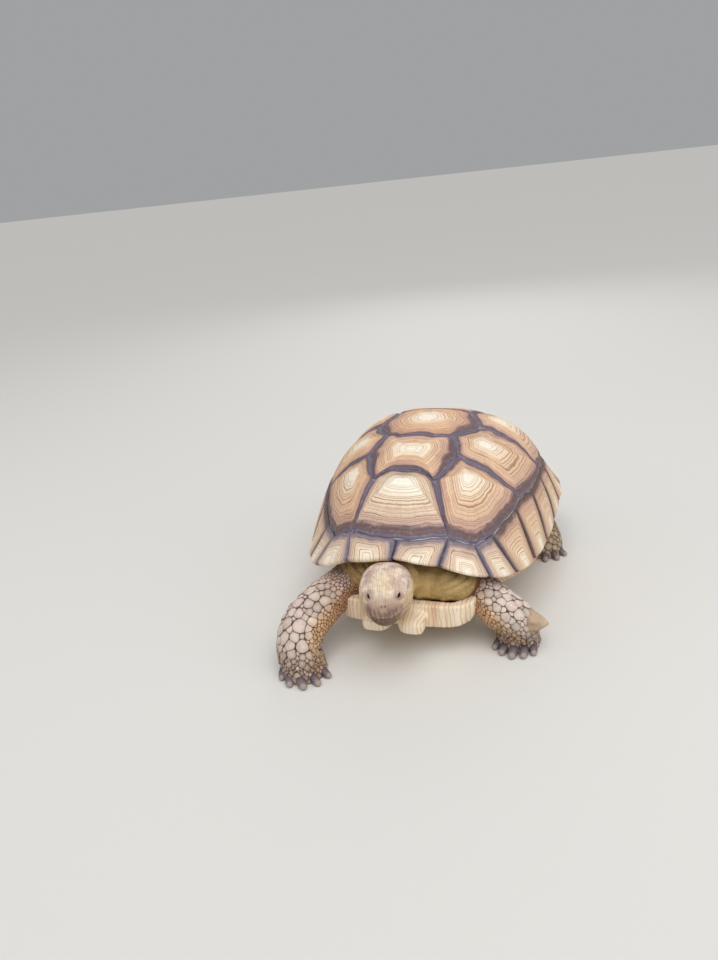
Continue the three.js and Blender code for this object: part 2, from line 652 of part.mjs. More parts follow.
// Stations from the nape to the snout: distance forward, half-width, height above and depth below.
const HEAD_STATIONS = [
  [-46, 34.5, 30, 27], [-30, 38, 35, 29], [-12, 39, 38, 30.5], [2, 38.5, 36.8, 31.5], [14, 36.5, 32.2, 31.5],
  [24, 32.5, 25.8, 30.5], [33, 27.5, 19.5, 29], [41, 22, 14, 27], [48, 16, 9, 23.5], [53, 10, 1.5, 19.5],
];
const HEAD_SQUARENESS = 0.88;
const EYE_PLACE = { s: 26.5, l: 16.2, u: 11.2 };
const NECK = [
  { at: [0, -140, 114], half: [50, 44] }, { at: [0, -196, 118], half: [42, 38] },
  { at: [-3, -226, 122], half: [36, 31] },
];

function headWhole(grow = 0) {
  const sections = HEAD_STATIONS.map(([s, wide, top, deep]) => {
    const points = [];
    for (let k = 0; k < 16; k += 1) {
      const turn = k / 16 * 2 * Math.PI;
      const high = (Math.sin(turn) > 0 ? top : deep) + grow;
      const [across, up] = [Math.cos(turn), Math.sin(turn)].map((value) => power(value, HEAD_SQUARENESS));
      points.push(inHead(s, (wide + grow) * across, high * up));
    }
    return points;
  });
  return loft(sections);
}

function eyeBall(side, grow = 0) {
  const ball = new THREE.SphereGeometry(EYE_RADIUS + grow, 10, 5);
  ball.translate(...inHead(EYE_PLACE.s, side * EYE_PLACE.l, EYE_PLACE.u).toArray());
  return solid(ball);
}

function neckWhole() {
  const nape = inHead(-46.3, 0, 2);
  return limb([...NECK, { at: nape.toArray(), half: [35, 29] }], v3(0, 0, 1), { sides: 12, steps: 5 });
}

const TAIL = [
  { at: [2, 190, 92], half: [24, 22] }, { at: [6, 218, 78], half: [19, 17] },
  { at: [12, 240, 58], half: [12, 11] }, { at: [16, 250, 40], half: [5, 5] },
  { at: [17, 253, 34], half: [2, 2] },
];

function fleshBodies() {
  const shell = [rind(GAP), plastronWhole(GAP)];
  const body = softBody(GAP);
  const underFloor = block([0, 0, -100 + SOLE], [1400, 1400, 200]);
  const flesh = {};
  flesh.trunk = cutAway(softBody(), shell);
  flesh.neck = cutAway(neckWhole(), [body, headWhole(GAP), ...shell]);
  flesh.head = cutAway(headWhole(), [eyeBall(1, GAP), eyeBall(-1, GAP), ...shell]);
  flesh.tail = cutAway(limb(TAIL, v3(0, 0, 1), { sides: 8, steps: 5 }), [body, ...shell]);
  for (const [name, leg] of Object.entries(LEGS)) {
    const whole = join([limb(leg.stations), ...(SPURS[name] ?? []).map(spur)]);
    flesh[`leg_${name}`] = cutAway(whole, [body, ...shell, underFloor]);
  }
  return flesh;
}

// Each claw sits in the rim of its foot with a small clearance.
function feet(flesh) {
  const claws = {};
  for (const name of Object.keys(LEGS)) {
    for (const { node, shape, socket } of clawsOf(name)) {
      claws[node] = shape;
      flesh[`leg_${name}`] = flesh[`leg_${name}`].subtract(socket);
    }
  }
  return claws;
}

// ---------------------------------------------------------------- assembly
const largest = (body) => piecesOf(body).sort((a, b) => b.volume() - a.volume())[0];

const model = new THREE.Group();
model.position.copy(SHELL_SHIFT);

function place(name, body, finish) {
  const mesh = new THREE.Mesh(geometryOf(largest(body)), new THREE.MeshStandardMaterial(FINISH[finish]));
  mesh.name = name;
  model.add(mesh);
}

for (const [name, body] of Object.entries(carapacePlates())) {
  place(name, body, /marginals|supracaudal/.test(name) ? 'rim' : 'plate');
}
for (const [name, body] of Object.entries(plastronPlates())) place(name, body, 'plastron');
const flesh = fleshBodies();
for (const [name, body] of Object.entries(feet(flesh))) place(name, body, 'claw');
for (const [name, body] of Object.entries(flesh)) {
  place(name, body, { head: 'head', trunk: 'skin', neck: 'skin', tail: 'skin' }[name] ?? 'scale');
}
place('eye_left', eyeBall(1), 'eye');
place('eye_right', eyeBall(-1), 'eye');

export default model;
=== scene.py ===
# %% [markdown]
# # A sulcata tortoise, walking
# This lesson dresses a plain CAD model of a sulcata, or African spurred, tortoise. The CAD solids give
# the size, the pose and the place of every part; here each one gets its real surface: horny scutes with
# growth rings, one skin that runs over the head, neck, legs and tail, hard scales on top of it, claws and
# eyes. Everything is in metres. The floor is at z = 0, the head points towards -y, and the animal's own
# left side is at +x.

# %% Load the frame
import math

import bmesh
import bpy
import numpy as np
from mathutils import Matrix


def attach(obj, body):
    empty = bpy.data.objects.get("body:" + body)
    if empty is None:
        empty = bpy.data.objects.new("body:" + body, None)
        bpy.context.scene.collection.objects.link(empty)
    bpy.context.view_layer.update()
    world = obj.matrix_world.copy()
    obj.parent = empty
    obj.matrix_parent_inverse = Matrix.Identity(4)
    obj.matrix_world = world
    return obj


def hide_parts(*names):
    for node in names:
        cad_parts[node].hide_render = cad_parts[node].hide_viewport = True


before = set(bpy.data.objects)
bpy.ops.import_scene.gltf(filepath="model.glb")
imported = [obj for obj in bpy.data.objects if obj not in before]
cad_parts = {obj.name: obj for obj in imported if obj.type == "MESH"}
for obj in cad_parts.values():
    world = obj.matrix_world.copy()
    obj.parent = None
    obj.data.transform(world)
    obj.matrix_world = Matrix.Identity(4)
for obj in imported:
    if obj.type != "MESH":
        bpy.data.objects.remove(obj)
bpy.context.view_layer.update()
print("CAD nodes:", len(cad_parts))

# %% [markdown]
# ## Small tools
# The shapes below are worked out as whole arrays of points. These helpers turn arrays into meshes, and
# shorten the writing of shader nodes.

# %% Numbers
TAU = 2 * math.pi
MM = 0.001


def smoothstep(low, high, value):
    """0 below low, 1 above high, and 3k^2 - 2k^3 at the share k of the way between."""
    share = np.clip((value - low) / (high - low), 0.0, 1.0)
    return share * share * (3 - 2 * share)


def blend(a, b, share):
    """A straight mix: a at share 0 and b at share 1."""
    return a + (b - a) * share


def signed_power(value, exponent):
    """|value| to a power, with the sign of value."""
    return np.sign(value) * np.abs(value) ** exponent


def unit(vectors):
    """Vectors of length one, along the last axis."""
    return vectors / np.maximum(np.linalg.norm(vectors, axis=-1, keepdims=True), 1e-12)


def colour(text):
    """A web colour such as "c9a477" as linear red, green, blue and alpha."""
    encoded = [int(text[i:i + 2], 16) / 255 for i in (0, 2, 4)]
    linear = [c / 12.92 if c <= 0.04045 else ((c + 0.055) / 1.055) ** 2.4 for c in encoded]
    return (*linear, 1.0)


# %% Meshes from arrays
def grid_quads(rows, columns, wrap):
    """Quads between the neighbours of a rows by columns grid; wrap joins the last column to the first."""
    row, column = np.meshgrid(np.arange(rows - 1), np.arange(columns if wrap else columns - 1), indexing="ij")
    after = (column + 1) % columns
    corners = [row * columns + column, row * columns + after, (row + 1) * columns + after,
               (row + 1) * columns + column]
    return np.stack(corners, axis=-1).reshape(-1, 4)


def fans(head, first, foot, last):
    """Triangles from the point head to the ring first, and from foot to the ring last, facing the other
    way."""
    return [np.stack((np.full(len(first), head), np.roll(first, -1), first), axis=1),
            np.stack((np.full(len(last), foot), last, np.roll(last, -1)), axis=1)]


def tube(rows):
    """A closed body from a grid of points: the rows are its rings, and each end is closed by a fan."""
    count, around = rows.shape[:2]
    points = np.concatenate((rows.reshape(-1, 3), rows[:1].mean(axis=1), rows[-1:].mean(axis=1)))
    first = np.arange(around)
    ends = fans(count * around, first, count * around + 1, (count - 1) * around + first)
    return points, [grid_quads(count, around, True), *ends]


def joined(parts, k):
    """Item k of every part, end to end."""
    return np.concatenate([part[k] for part in parts])


def outward(points, faces):
    """The faces, turned round if the volume they enclose comes out negative."""
    a, b, c = (points[faces[0][:, k]] for k in range(3))
    volume = np.einsum("ij,ij->i", a, np.cross(b, c)).sum()
    if faces[0].shape[1] == 4:
        d = points[faces[0][:, 3]]
        volume += np.einsum("ij,ij->i", a, np.cross(c, d)).sum()
    return [group[:, ::-1] for group in faces] if volume < 0 else faces


def make_mesh(name, points, faces, attributes=None, uv=None):
    """A mesh from points and a list of face arrays; attributes hold a number or a colour for each point,
    and uv a place on the map for each point."""
    mesh = bpy.data.meshes.new(name)
    mesh.vertices.add(len(points))
    mesh.vertices.foreach_set("co", np.asarray(points, np.float32).ravel())
    corners = np.concatenate([group.ravel() for group in faces]).astype(np.int32)
    sizes = np.concatenate([np.full(len(group), group.shape[1]) for group in faces])
    mesh.loops.add(len(corners))
    mesh.loops.foreach_set("vertex_index", corners)
    mesh.polygons.add(len(sizes))
    mesh.polygons.foreach_set("loop_start", (np.cumsum(sizes) - sizes).astype(np.int32))
    mesh.update(calc_edges=True)
    mesh.validate()
    mesh.shade_smooth()
    for key, values in (attributes or {}).items():
        values = np.asarray(values, np.float32)
        if values.ndim == 1:
            mesh.attributes.new(key, "FLOAT", "POINT").data.foreach_set("value", values)
        else:
            mesh.attributes.new(key, "FLOAT_COLOR", "POINT").data.foreach_set("color", values.ravel())
    for key, places in (uv or {}).items():
        layer = mesh.uv_layers.new(name=key)
        layer.data.foreach_set("uv", np.asarray(places, np.float32)[corners].ravel())
    return mesh


def new_object(name, data):
    """An object that shows the data, linked to the scene."""
    made = bpy.data.objects.new(name, data)
    bpy.context.scene.collection.objects.link(made)
    return made


def add_piece(name, mesh, material, slot, *nodes):
    """Puts a mesh into the scene as a piece that rides on the body and stands for CAD nodes."""
    piece = new_object(name, mesh)
    mesh.materials.append(material)
    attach(piece, "root")
    if nodes:
        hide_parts(*nodes)
    return piece


# %% Shader nodes in a line each
def add_node(tree, kind, inputs=None, **settings):
    """A shader node with its settings, and each input either linked to a socket or set to a value."""
    made = tree.nodes.new("ShaderNode" + kind)
    for key, value in settings.items():
        setattr(made, key, value)
    for key, value in (inputs or {}).items():
        if isinstance(value, bpy.types.NodeSocket):
            tree.links.new(value, made.inputs[key])
        else:
            made.inputs[key].default_value = value
    return made


def calc(tree, operation, a, b=0.0, clamp=False):
    """The result of a Math node."""
    made = add_node(tree, "Math", {0: a, 1: b}, operation=operation, use_clamp=clamp)
    return made.outputs[0]


def times(tree, a, b):
    """Two values multiplied."""
    return calc(tree, "MULTIPLY", a, b)


def plus(tree, a, b):
    """Two values added."""
    return calc(tree, "ADD", a, b)


def opposite(tree, value):
    """One less a value."""
    return calc(tree, "SUBTRACT", 1.0, value)


def swing(tree, value, amount):
    """A noise value set about zero, then scaled."""
    return times(tree, calc(tree, "SUBTRACT", value, 0.5), amount)


def mix(tree, share, a, b, how="MIX"):
    """Two colours mixed by share."""
    made = add_node(tree, "Mix", {0: share, 6: a, 7: b}, data_type="RGBA", blend_type=how)
    return made.outputs[2]


def remap(tree, value, from_low, from_high, to_low=0.0, to_high=1.0):
    """A value carried smoothly from one range to another."""
    made = add_node(tree, "MapRange", {0: value, 1: from_low, 2: from_high, 3: to_low, 4: to_high},
                    interpolation_type="SMOOTHSTEP")
    return made.outputs[0]


def attribute(tree, name, output="Fac"):
    """A number or a colour kept in the mesh under a name."""
    return add_node(tree, "Attribute", attribute_name=name).outputs[output]


def noise(tree, scale, detail=4.0, roughness=0.55, vector=None, output="Fac"):
    """Cloudy noise, on the object's own coordinates unless a vector is given."""
    vector = vector or add_node(tree, "TexCoord").outputs["Object"]
    made = add_node(tree, "TexNoise", {"Vector": vector, "Scale": scale, "Detail": detail,
                                       "Roughness": roughness})
    return made.outputs[output]


def ramp(tree, value, stops):
    """A colour ramp; stops are pairs of a place and a web colour."""
    made = add_node(tree, "ValToRGB", {0: value})
    elements = made.color_ramp.elements
    elements.remove(elements[-1])
    elements[0].position, elements[0].color = stops[0][0], colour(stops[0][1])
    for place, text in stops[1:]:
        elements.new(place).color = colour(text)
    return made.outputs[0]


def new_material(name):
    """An empty material: its node tree, its Principled shader, and itself."""
    material = bpy.data.materials.new(name)
    material.use_nodes = True
    tree = material.node_tree
    return tree, tree.nodes["Principled BSDF"], material


def bump(tree, height, distance, strength=1.0, normal=None):
    """A Bump node's normal from a height map, with the relief's depth in metres."""
    made = add_node(tree, "Bump", {"Height": height, "Distance": distance, "Strength": strength})
    if normal is not None:
        tree.links.new(normal, made.inputs["Normal"])
    return made.outputs[0]


# %% [markdown]
# ## Camera, light and floor
# The camera looks down at the tortoise from ahead of its left side, tipped a few degrees. The floor is
# plain and pale, and the light is soft, like an overcast day: one wide lamp overhead, weaker ones
# at the sides and behind, a veiled sun and a bright world.

# %% Camera
EYE = np.array((0.30554, -1.08365, 0.6834))
AZIMUTH, ELEVATION, ROLL = math.radians(21.5), math.radians(22.82), math.radians(-6.72)
FOCAL_PIXELS, FRAME_HEIGHT, SENSOR = 741.7, 960, 36.0


def look(azimuth, elevation, roll):
    """The camera's right, up and back axes: a level look turned by azimuth and elevation, then rolled."""
    ahead = np.array((-math.sin(azimuth) * math.cos(elevation), math.cos(azimuth) * math.cos(elevation),
                      -math.sin(elevation)))
    level = np.array((math.cos(azimuth), math.sin(azimuth), 0.0))
    above = np.cross(level, ahead)
    right = level * math.cos(roll) + above * math.sin(roll)
    return right, np.cross(right, ahead), -ahead


def pose_matrix(axes, place):
    """A 4 by 4 pose whose columns are three axes and a place."""
    pose = np.eye(4)
    pose[:3, :3] = np.stack(axes, axis=1)
    pose[:3, 3] = place
    return Matrix(pose.tolist())


camera_data = bpy.data.cameras.new("camera")
camera_data.lens = FOCAL_PIXELS / FRAME_HEIGHT * SENSOR
camera_data.sensor_width = SENSOR
camera_data.clip_end = 200
camera = new_object("camera", camera_data)
camera.matrix_world = pose_matrix(look(AZIMUTH, ELEVATION, ROLL), EYE)
bpy.context.scene.camera = camera
print("lens", round(camera_data.lens, 2), "mm")

# %% Lamps and world
LAMPS = [  # name, place, size, watts
    ("sky", (0.5, -0.7, 2.3), 2.4, 16),
    ("left", (2.2, -0.6, 1.1), 1.6, 9),
    ("right", (-2.0, -1.2, 1.0), 1.6, 6),
    ("back", (-0.4, 2.4, 1.6), 1.6, 9),
]


def add_lamp(name, place, size, watts):
    """A square area lamp that faces the middle of the shell."""
    data = bpy.data.lights.new(name, "AREA")
    data.size, data.energy = size, watts
    lamp = new_object(name, data)
    back = unit(np.array(place) - np.array((0.0, 0.0, 0.15)))
    side = unit(np.cross((0.0, 1.0, 0.01), back))
    lamp.matrix_world = pose_matrix((side, np.cross(back, side), back), place)


for lamp_values in LAMPS:
    add_lamp(*lamp_values)
sun_data = bpy.data.lights.new("veiled_sun", "SUN")
sun_data.energy, sun_data.angle = 1.3, math.radians(55)
sun = new_object("veiled_sun", sun_data)
sun.rotation_euler = (math.radians(24), math.radians(14), 0.0)
world = bpy.data.worlds.new("world")
bpy.context.scene.world = world
world.use_nodes = True
world.node_tree.nodes["Background"].inputs[0].default_value = colour("f2f3f5")
world.node_tree.nodes["Background"].inputs[1].default_value = 0.4
bpy.context.scene.view_settings.view_transform = "Standard"

# %% Floor
FLOOR_SIZE = 60.0
floor_shader, floor_paint = new_material("pale_floor")[1:]
floor_shader.inputs["Base Color"].default_value = colour("dcdad5")
floor_shader.inputs["Roughness"].default_value = 0.9
half = FLOOR_SIZE / 2
floor_corners = np.array([(-half, -half, 0), (half, -half, 0), (half, half, 0), (-half, half, 0)])
floor_mesh = make_mesh("floor", floor_corners, [np.array([[0, 1, 2, 3]])])
floor_mesh.materials.append(floor_paint)
floor = new_object("floor", floor_mesh)

# %% [markdown]
# ## The carapace as one surface
# The upper shell is a dome over a rounded, squarish rim, with a brim that flares at the front and the
# rear. One function gives it all: a place on it is rho, 0 at the summit and 1 on the rim, and theta,
# 0 at the front and a quarter turn on the left side. Scutes, seams and bone are all laid on this
# function, so they always fit each other.

# %% Carapace
SHELL_LENGTH, SHELL_WIDTH, SHELL_TOP = 0.524, 0.402, 0.288
SHELL_SHIFT = np.array((-0.00636, 0.05185, 0.0))
DOME_AXIS_Y = -0.003
RIM_SQUARENESS, RIM_TAPER = 2.86, 0.14
RIM_HEIGHT, RIM_PITCH, RIM_SADDLE, RIM_WAVE = 0.110, 0.032, 0.003, 0.018
FULLNESS_SIDE, FULLNESS_END = 0.95, 0.81
SHOULDER_SIDE, SHOULDER_END = 1.02, 1.07
FLARE_START, FLARE_FRONT, FLARE_SIDE, FLARE_REAR = 0.72, 0.16, 0.03, 0.17
SCALLOP = 0.004
NUCHAL_NOTCH, NUCHAL_SPREAD = 0.007, 24   # the front edge is drawn back over the neck; degrees on each side
RIM_SEAMS = np.array([0, 16, 41, 57, 71, 83, 90.5, 99.5, 115, 131, 148, 168, 192.0])


def half_turn(theta):
    """The angle from the front, 0 to 180 degrees, the same on both sides."""
    return np.degrees(np.abs((theta + math.pi) % TAU - math.pi))


def scallop(theta):
    """How far the rim stands out: half a sine wave from seam to seam, less a bell-shaped notch in front."""
    turn = half_turn(theta)
    after = np.clip(np.searchsorted(RIM_SEAMS, turn, "right"), 1, len(RIM_SEAMS) - 1)
    part = (turn - RIM_SEAMS[after - 1]) / (RIM_SEAMS[after] - RIM_SEAMS[after - 1])
    notch = NUCHAL_NOTCH * np.exp(-(turn / NUCHAL_SPREAD) ** 2)
    return SCALLOP * np.sin(np.pi * part) * np.cos(theta) ** 2 - notch


def carapace_skin(rho, theta):
    """The dome: the rim's superellipse scaled by sin(rho)^fullness, raised by cos(rho)^shoulder."""
    s, c = np.sin(theta), np.cos(theta)
    rim_x = SHELL_WIDTH / 2 * signed_power(s, 2 / RIM_SQUARENESS) * (1 - RIM_TAPER * c)
    rim_y = -SHELL_LENGTH / 2 * signed_power(c, 2 / RIM_SQUARENESS)
    rim_z = RIM_HEIGHT + RIM_PITCH * c + RIM_SADDLE * np.cos(2 * theta) + RIM_WAVE * np.cos(3 * theta)
    fullness = blend(FULLNESS_SIDE, FULLNESS_END, c * c)
    shoulder = blend(SHOULDER_SIDE, SHOULDER_END, c * c)
    flare = (FLARE_SIDE + (FLARE_FRONT - FLARE_SIDE) * np.maximum(c, 0)
             + (FLARE_REAR - FLARE_SIDE) * np.maximum(-c, 0))
    angle = rho * math.pi / 2
    brim = np.maximum((rho - FLARE_START) / (1 - FLARE_START), 0) ** 2
    reach = np.sin(angle) ** fullness * (1 - flare) + flare * brim
    rise = np.maximum(np.cos(angle), 0) ** shoulder
    edge = scallop(theta) * smoothstep(0.86, 1, rho)
    return np.stack((reach * rim_x + edge * s, DOME_AXIS_Y + reach * (rim_y - DOME_AXIS_Y) - edge * c,
                     blend(rim_z, SHELL_TOP, rise) - edge / 2), axis=-1) + SHELL_SHIFT


def carapace_normal(rho, theta):
    """Straight out of the dome, from two short steps across it."""
    at = np.clip(rho, 0.02, 0.97)
    across = carapace_skin(at + 0.01, theta) - carapace_skin(at - 0.01, theta)
    round_it = carapace_skin(at, theta + 0.02) - carapace_skin(at, theta - 0.02)
    return unit(np.cross(across, round_it))


def carapace(rho, theta, lift=0.0):
    """A place lifted off the dome. Past the rim the surface runs on straight."""
    inside = np.clip(rho, 1e-3, 1.0)
    past = np.maximum(rho - 1.0, 0.0)[..., None]
    rim = carapace_skin(np.ones_like(rho), theta)
    rim_step = (rim - carapace_skin(np.full_like(rho, 0.98), theta)) / 0.02
    raised = carapace_normal(rho, theta) * np.asarray(lift)[..., None]
    return carapace_skin(inside, theta) + past * rim_step + raised


def on_disc(disc, lift=0.0):
    """The place over a point (u, v) of the unit disc, with u to the left and v to the front."""
    rho = np.hypot(disc[..., 0], disc[..., 1])
    theta = np.arctan2(disc[..., 0], disc[..., 1])
    return carapace(rho, theta, lift)


def polar(rho, degrees):
    """A disc point from its radius and its angle off the front."""
    turn = np.radians(degrees)
    return np.stack((rho * np.sin(turn), rho * np.cos(turn)), axis=-1)


print("shell", SHELL_LENGTH, "by", SHELL_WIDTH, "m, top at", SHELL_TOP, "m")

# %% [markdown]
# ## Seams between the scutes
# A tortoise's shell has five vertebral scutes down the middle, four pleurals on each side, and a ring of
# marginals round the rim. Their seams are lines on the unit disc. Both neighbours of a seam use the same
# line, and a slow wobble is added to every line at once, so that no seam is ruler-straight and none
# opens.

# %% Seams
GIRDLE = np.array([[0, 0.886], [22, 0.836], [37, 0.857], [50, 0.805], [63, 0.75], [76, 0.705], [90, 0.715],
                   [101, 0.742], [116, 0.752], [140, 0.78], [160, 0.8], [180, 0.8]])
GIRDLE_SEAMS = np.array([0, 22, 37, 50, 71, 85, 91.5, 101, 116, 131, 147, 165, 195.0])
RIDGE = [(0.313, 0.775), (0.225, 0.64), (0.153, 0.483), (0.252, 0.246), (0.187, 0.114), (0.271, -0.005),
         (0.182, -0.118), (0.24, -0.3), (0.15, -0.42), (0.336, -0.72)]
MID_SEAM_V = [0.422, 0.144, -0.168, -0.45]
CROSS_ENDS = [2, 4, 6, 8]                 # the ridge points that the four cross seams start from
PLEURAL_TURNS = [22, 76, 94, 121, 155]    # where the pleurals' seams meet the girdle
SEAM_WOBBLE = 0.0035


def girdle(degrees):
    """The radius of the seam above the marginals, by the angle off the front on either side."""
    turn = np.abs((np.asarray(degrees, float) + 180) % 360 - 180)
    return np.interp(turn, GIRDLE[:, 0], GIRDLE[:, 1])


def girdle_run(start, stop):
    """Corners along the girdle between two angles."""
    steps = np.linspace(start, stop, max(2, int(abs(stop - start) / 3)))
    return [tuple(p) for p in polar(girdle(steps), steps)]


def wobble(disc):
    """Disc points moved by a few slow waves of both coordinates."""
    u, v = disc[..., 0], disc[..., 1]
    shift = np.stack((np.sin(31 * v + 9 * u) + 0.6 * np.sin(67 * v - 23 * u + 1.3),
                      np.sin(29 * u + 11 * v + 2.1) + 0.6 * np.sin(71 * u + 19 * v)), axis=-1)
    fade = np.clip((1.0 - np.hypot(u, v)) / 0.1, 0, 1)[..., None]
    return disc + SEAM_WOBBLE * shift * fade


def other_side(corners):
    """The same corners on the right side, in reverse, so that an outline can come back along them."""
    return [(-u, v) for u, v in reversed(corners)]


def cross_seam(i):
    """A seam across the middle, from the left ridge to the right one."""
    u, v = RIDGE[CROSS_ENDS[i]]
    mid = MID_SEAM_V[i]
    return [(u, v), (u * 0.45, mid + 0.01), (0.0, mid), (-u * 0.45, mid + 0.01), (-u, v)]


def vertebral_outline(i):
    """Corners round vertebral i: down the left ridge, across, and back up the right one."""
    runs = [RIDGE[0:3], RIDGE[2:5], RIDGE[4:7], RIDGE[6:9], RIDGE[8:10]]
    left = runs[i]
    top = girdle_run(-22, 22) if i == 0 else cross_seam(i - 1)[::-1]
    bottom = girdle_run(155, 205) if i == 4 else cross_seam(i)
    return top + left[1:-1] + bottom + other_side(left)[1:-1]


def pleural_outline(i):
    """Corners round the left pleural i: along the ridge, then out to the girdle and back."""
    ridge = [RIDGE[2::-1], [RIDGE[4], RIDGE[3]], [RIDGE[6], RIDGE[5]], [RIDGE[8], RIDGE[7]]][i]
    run = girdle_run(PLEURAL_TURNS[i], PLEURAL_TURNS[i + 1])
    last = [] if i == 3 else [RIDGE[3 + 2 * i]]
    return ridge[:-1] + ([] if i == 0 else [ridge[-1]]) + run + last


print("vertebral 1 has", len(vertebral_outline(0)), "corners on its outline")

# %% [markdown]
# ## A scute
# A scute is a plate of horn that grows from its first small plate, the areola, outwards. Each season adds
# a ring, so the rings are copies of the outline, larger and larger. The plate is therefore drawn as a fan:
# t runs from 0 on the areola to 1 on the seam, and k runs round the outline. The ring count rises with t,
# and its fraction gives a small ridge. The same count is kept on the mesh for the colours, so that dark
# lines lie in the grooves.

# %% Scute
AREOLAE = {"vertebral": [(0.0, 0.502), (0.0, 0.28), (0.0, 0.0), (0.0, -0.31), (0.0, -0.58)],
           "pleural": [(0.335, 0.335), (0.345, 0.068), (0.337, -0.13), (0.31, -0.45)]}
SCUTE_DOME = 3.0 * MM          # rise of a scute's middle over its edge
SCUTE_SINK = 1.2 * MM          # depth of the edge under the dome's own surface
SEAM_SHOULDER = 8.0 * MM       # the plate rounds off into the seam over this width
SEAM_DEPTH = 1.8 * MM
SEAM_GAP = 0.28 * MM           # half the gap between two plates
RING_RIDGE = 0.6 * MM
PLATE_DEPTH = 3.4 * MM
RING_SPACING = 4.2 * MM
ACROSS, ROUND = 72, 168        # samples from the areola to the seam, and round it


def resample(corners, count, smoothing):
    """An outline of count points evenly spaced in space, its corners rounded by a running mean."""
    ring = np.array(corners + corners[:1])
    fine = np.concatenate([blend(a, b, np.linspace(0, 1, 24, endpoint=False)[:, None])
                           for a, b in zip(ring[:-1], ring[1:])])
    fine = np.concatenate((fine, fine[:1]))
    steps = np.linalg.norm(np.diff(on_disc(fine), axis=0), axis=1)
    along = np.concatenate(([0], np.cumsum(steps)))
    spots = np.linspace(0, along[-1], count, endpoint=False)
    loop = np.stack([np.interp(spots, along, fine[:, k]) for k in (0, 1)], axis=-1)
    for _ in range(smoothing):
        loop = (np.roll(loop, 1, axis=0) + 2 * loop + np.roll(loop, -1, axis=0)) / 4
    return wobble(loop)


def ring_count(t, reach, seed):
    """How many growth rings lie inside t: evenly spaced rings, crowded and spread by two slow waves."""
    rng = np.random.default_rng(seed)
    phase = rng.uniform(0, TAU, 4)
    rings = t * reach / RING_SPACING
    return rings + 0.33 * np.sin(1.7 * rings + phase[0]) + 0.14 * np.sin(3.3 * rings + phase[1])


def ridge(count):
    """A ring's profile: a quick rise out of its groove, then a slow fall."""
    part = count % 1.0
    return smoothstep(0, 0.3, part) * (1 - smoothstep(0.5, 1, part))


def band_share(outline, is_vertebral):
    """For each point of an outline, how much of its distance counts for the dark band: less, and so a wider
    band, along the girdle and at the two sides of a vertebral."""
    rho, turn = np.hypot(*outline.T), np.degrees(np.arctan2(*outline.T))
    at_girdle = 1 - smoothstep(0.015, 0.04, np.abs(rho - girdle(turn)))
    middle = outline.mean(axis=0)
    sideways = np.abs(outline[:, 0] - middle[0]) / np.abs(outline[:, 0] - middle[0]).max()
    at_side = smoothstep(0.62, 0.9, sideways) * is_vertebral
    share = 1 - np.maximum(0.5 * at_girdle, 0.55 * at_side)
    for _ in range(6):
        share = (np.roll(share, 1) + 2 * share + np.roll(share, -1)) / 4
    return share


def scute_mesh(name, corners, areola, seed, is_vertebral, warmth):
    """A closed plate: a fan of rings from the areola out, a wall down the seam, and a plain underside."""
    outline = resample(corners, ROUND, 2)
    centre = np.array(areola)
    reach = np.linalg.norm(on_disc(outline) - on_disc(centre), axis=-1)
    t = np.linspace(0, 1, ACROSS)[:, None] ** 0.9
    last = 1 - SEAM_GAP / reach
    disc = centre + (t * last)[..., None] * (outline - centre)
    to_seam = (1 - t * last) * reach
    flow = 0.25 * np.sin(26 * disc[..., 0] + seed) * np.sin(23 * disc[..., 1] + 2 * seed)
    count = ring_count(t, np.median(reach), seed) + flow * t
    strength = np.minimum(smoothstep(0.0, 0.06, t), smoothstep(0.5 * MM, 3 * MM, to_seam))
    shoulder = (1 - smoothstep(0, 1, to_seam / SEAM_SHOULDER)) ** 1.5
    lift = (SCUTE_DOME * (1 - t ** 2.4) - SCUTE_SINK + RING_RIDGE * ridge(count) * strength
            - SEAM_DEPTH * shoulder)
    top = on_disc(disc, lift)
    rim_disc, rim_lift = disc[-1], lift[-1]
    wall = [on_disc(rim_disc, rim_lift - drop) for drop in (0.5 * MM, 1.5 * MM)]
    under = [on_disc(centre + share * (rim_disc - centre), np.full(ROUND, -PLATE_DEPTH))
             for share in (0.995, 0.6)]
    rows = np.concatenate((top[1:], np.stack(wall + under)))
    points = np.concatenate((on_disc(centre[None], lift[:1, 0]), rows.reshape(-1, 3),
                             on_disc(centre[None], np.array([-PLATE_DEPTH]))))
    n = len(rows)
    first = 1 + np.arange(ROUND)
    faces = [1 + grid_quads(n, ROUND, True), *fans(0, first, len(points) - 1, first + (n - 1) * ROUND)]

    def spread(values):
        """Values on the top's grid, carried down the wall and the underside."""
        body = np.concatenate((values[1:], np.repeat(values[-1:], n - len(values) + 1, axis=0)))
        return np.concatenate((values[:1, 0], body.ravel(), values[-1:, 0]))

    age = np.broadcast_to(t * last, count.shape)
    around = np.broadcast_to(np.arange(ROUND) / ROUND, count.shape)
    attributes = {"rings": spread(count), "age": spread(age), "seam": spread(to_seam),
                  "around": spread(around), "band": spread(to_seam * band_share(outline, is_vertebral)),
                  "warmth": np.full(len(points), warmth)}
    return make_mesh(name, points, outward(points, faces), attributes)


print("a large scute has", ACROSS * ROUND, "quads")

# %% [markdown]
# ## Marginal scutes
# The marginals are bent over the rim: each one comes down from the girdle seam, turns round the edge and
# runs a little way back underneath. A sheet S(a, b) follows that path, a across the scute and b along it,
# and is then given its thickness. Their first plate sits at the rim, so their rings are nested arches
# that stand on the rim: the larger of the two distances, across and up, counts the rings.

# %% Sheets with thickness
def sheet_normals(sheet):
    """Normals of a grid of points: the cross product of its two differences."""
    down, across = np.gradient(sheet, axis=0), np.gradient(sheet, axis=1)
    return unit(np.cross(down, across))


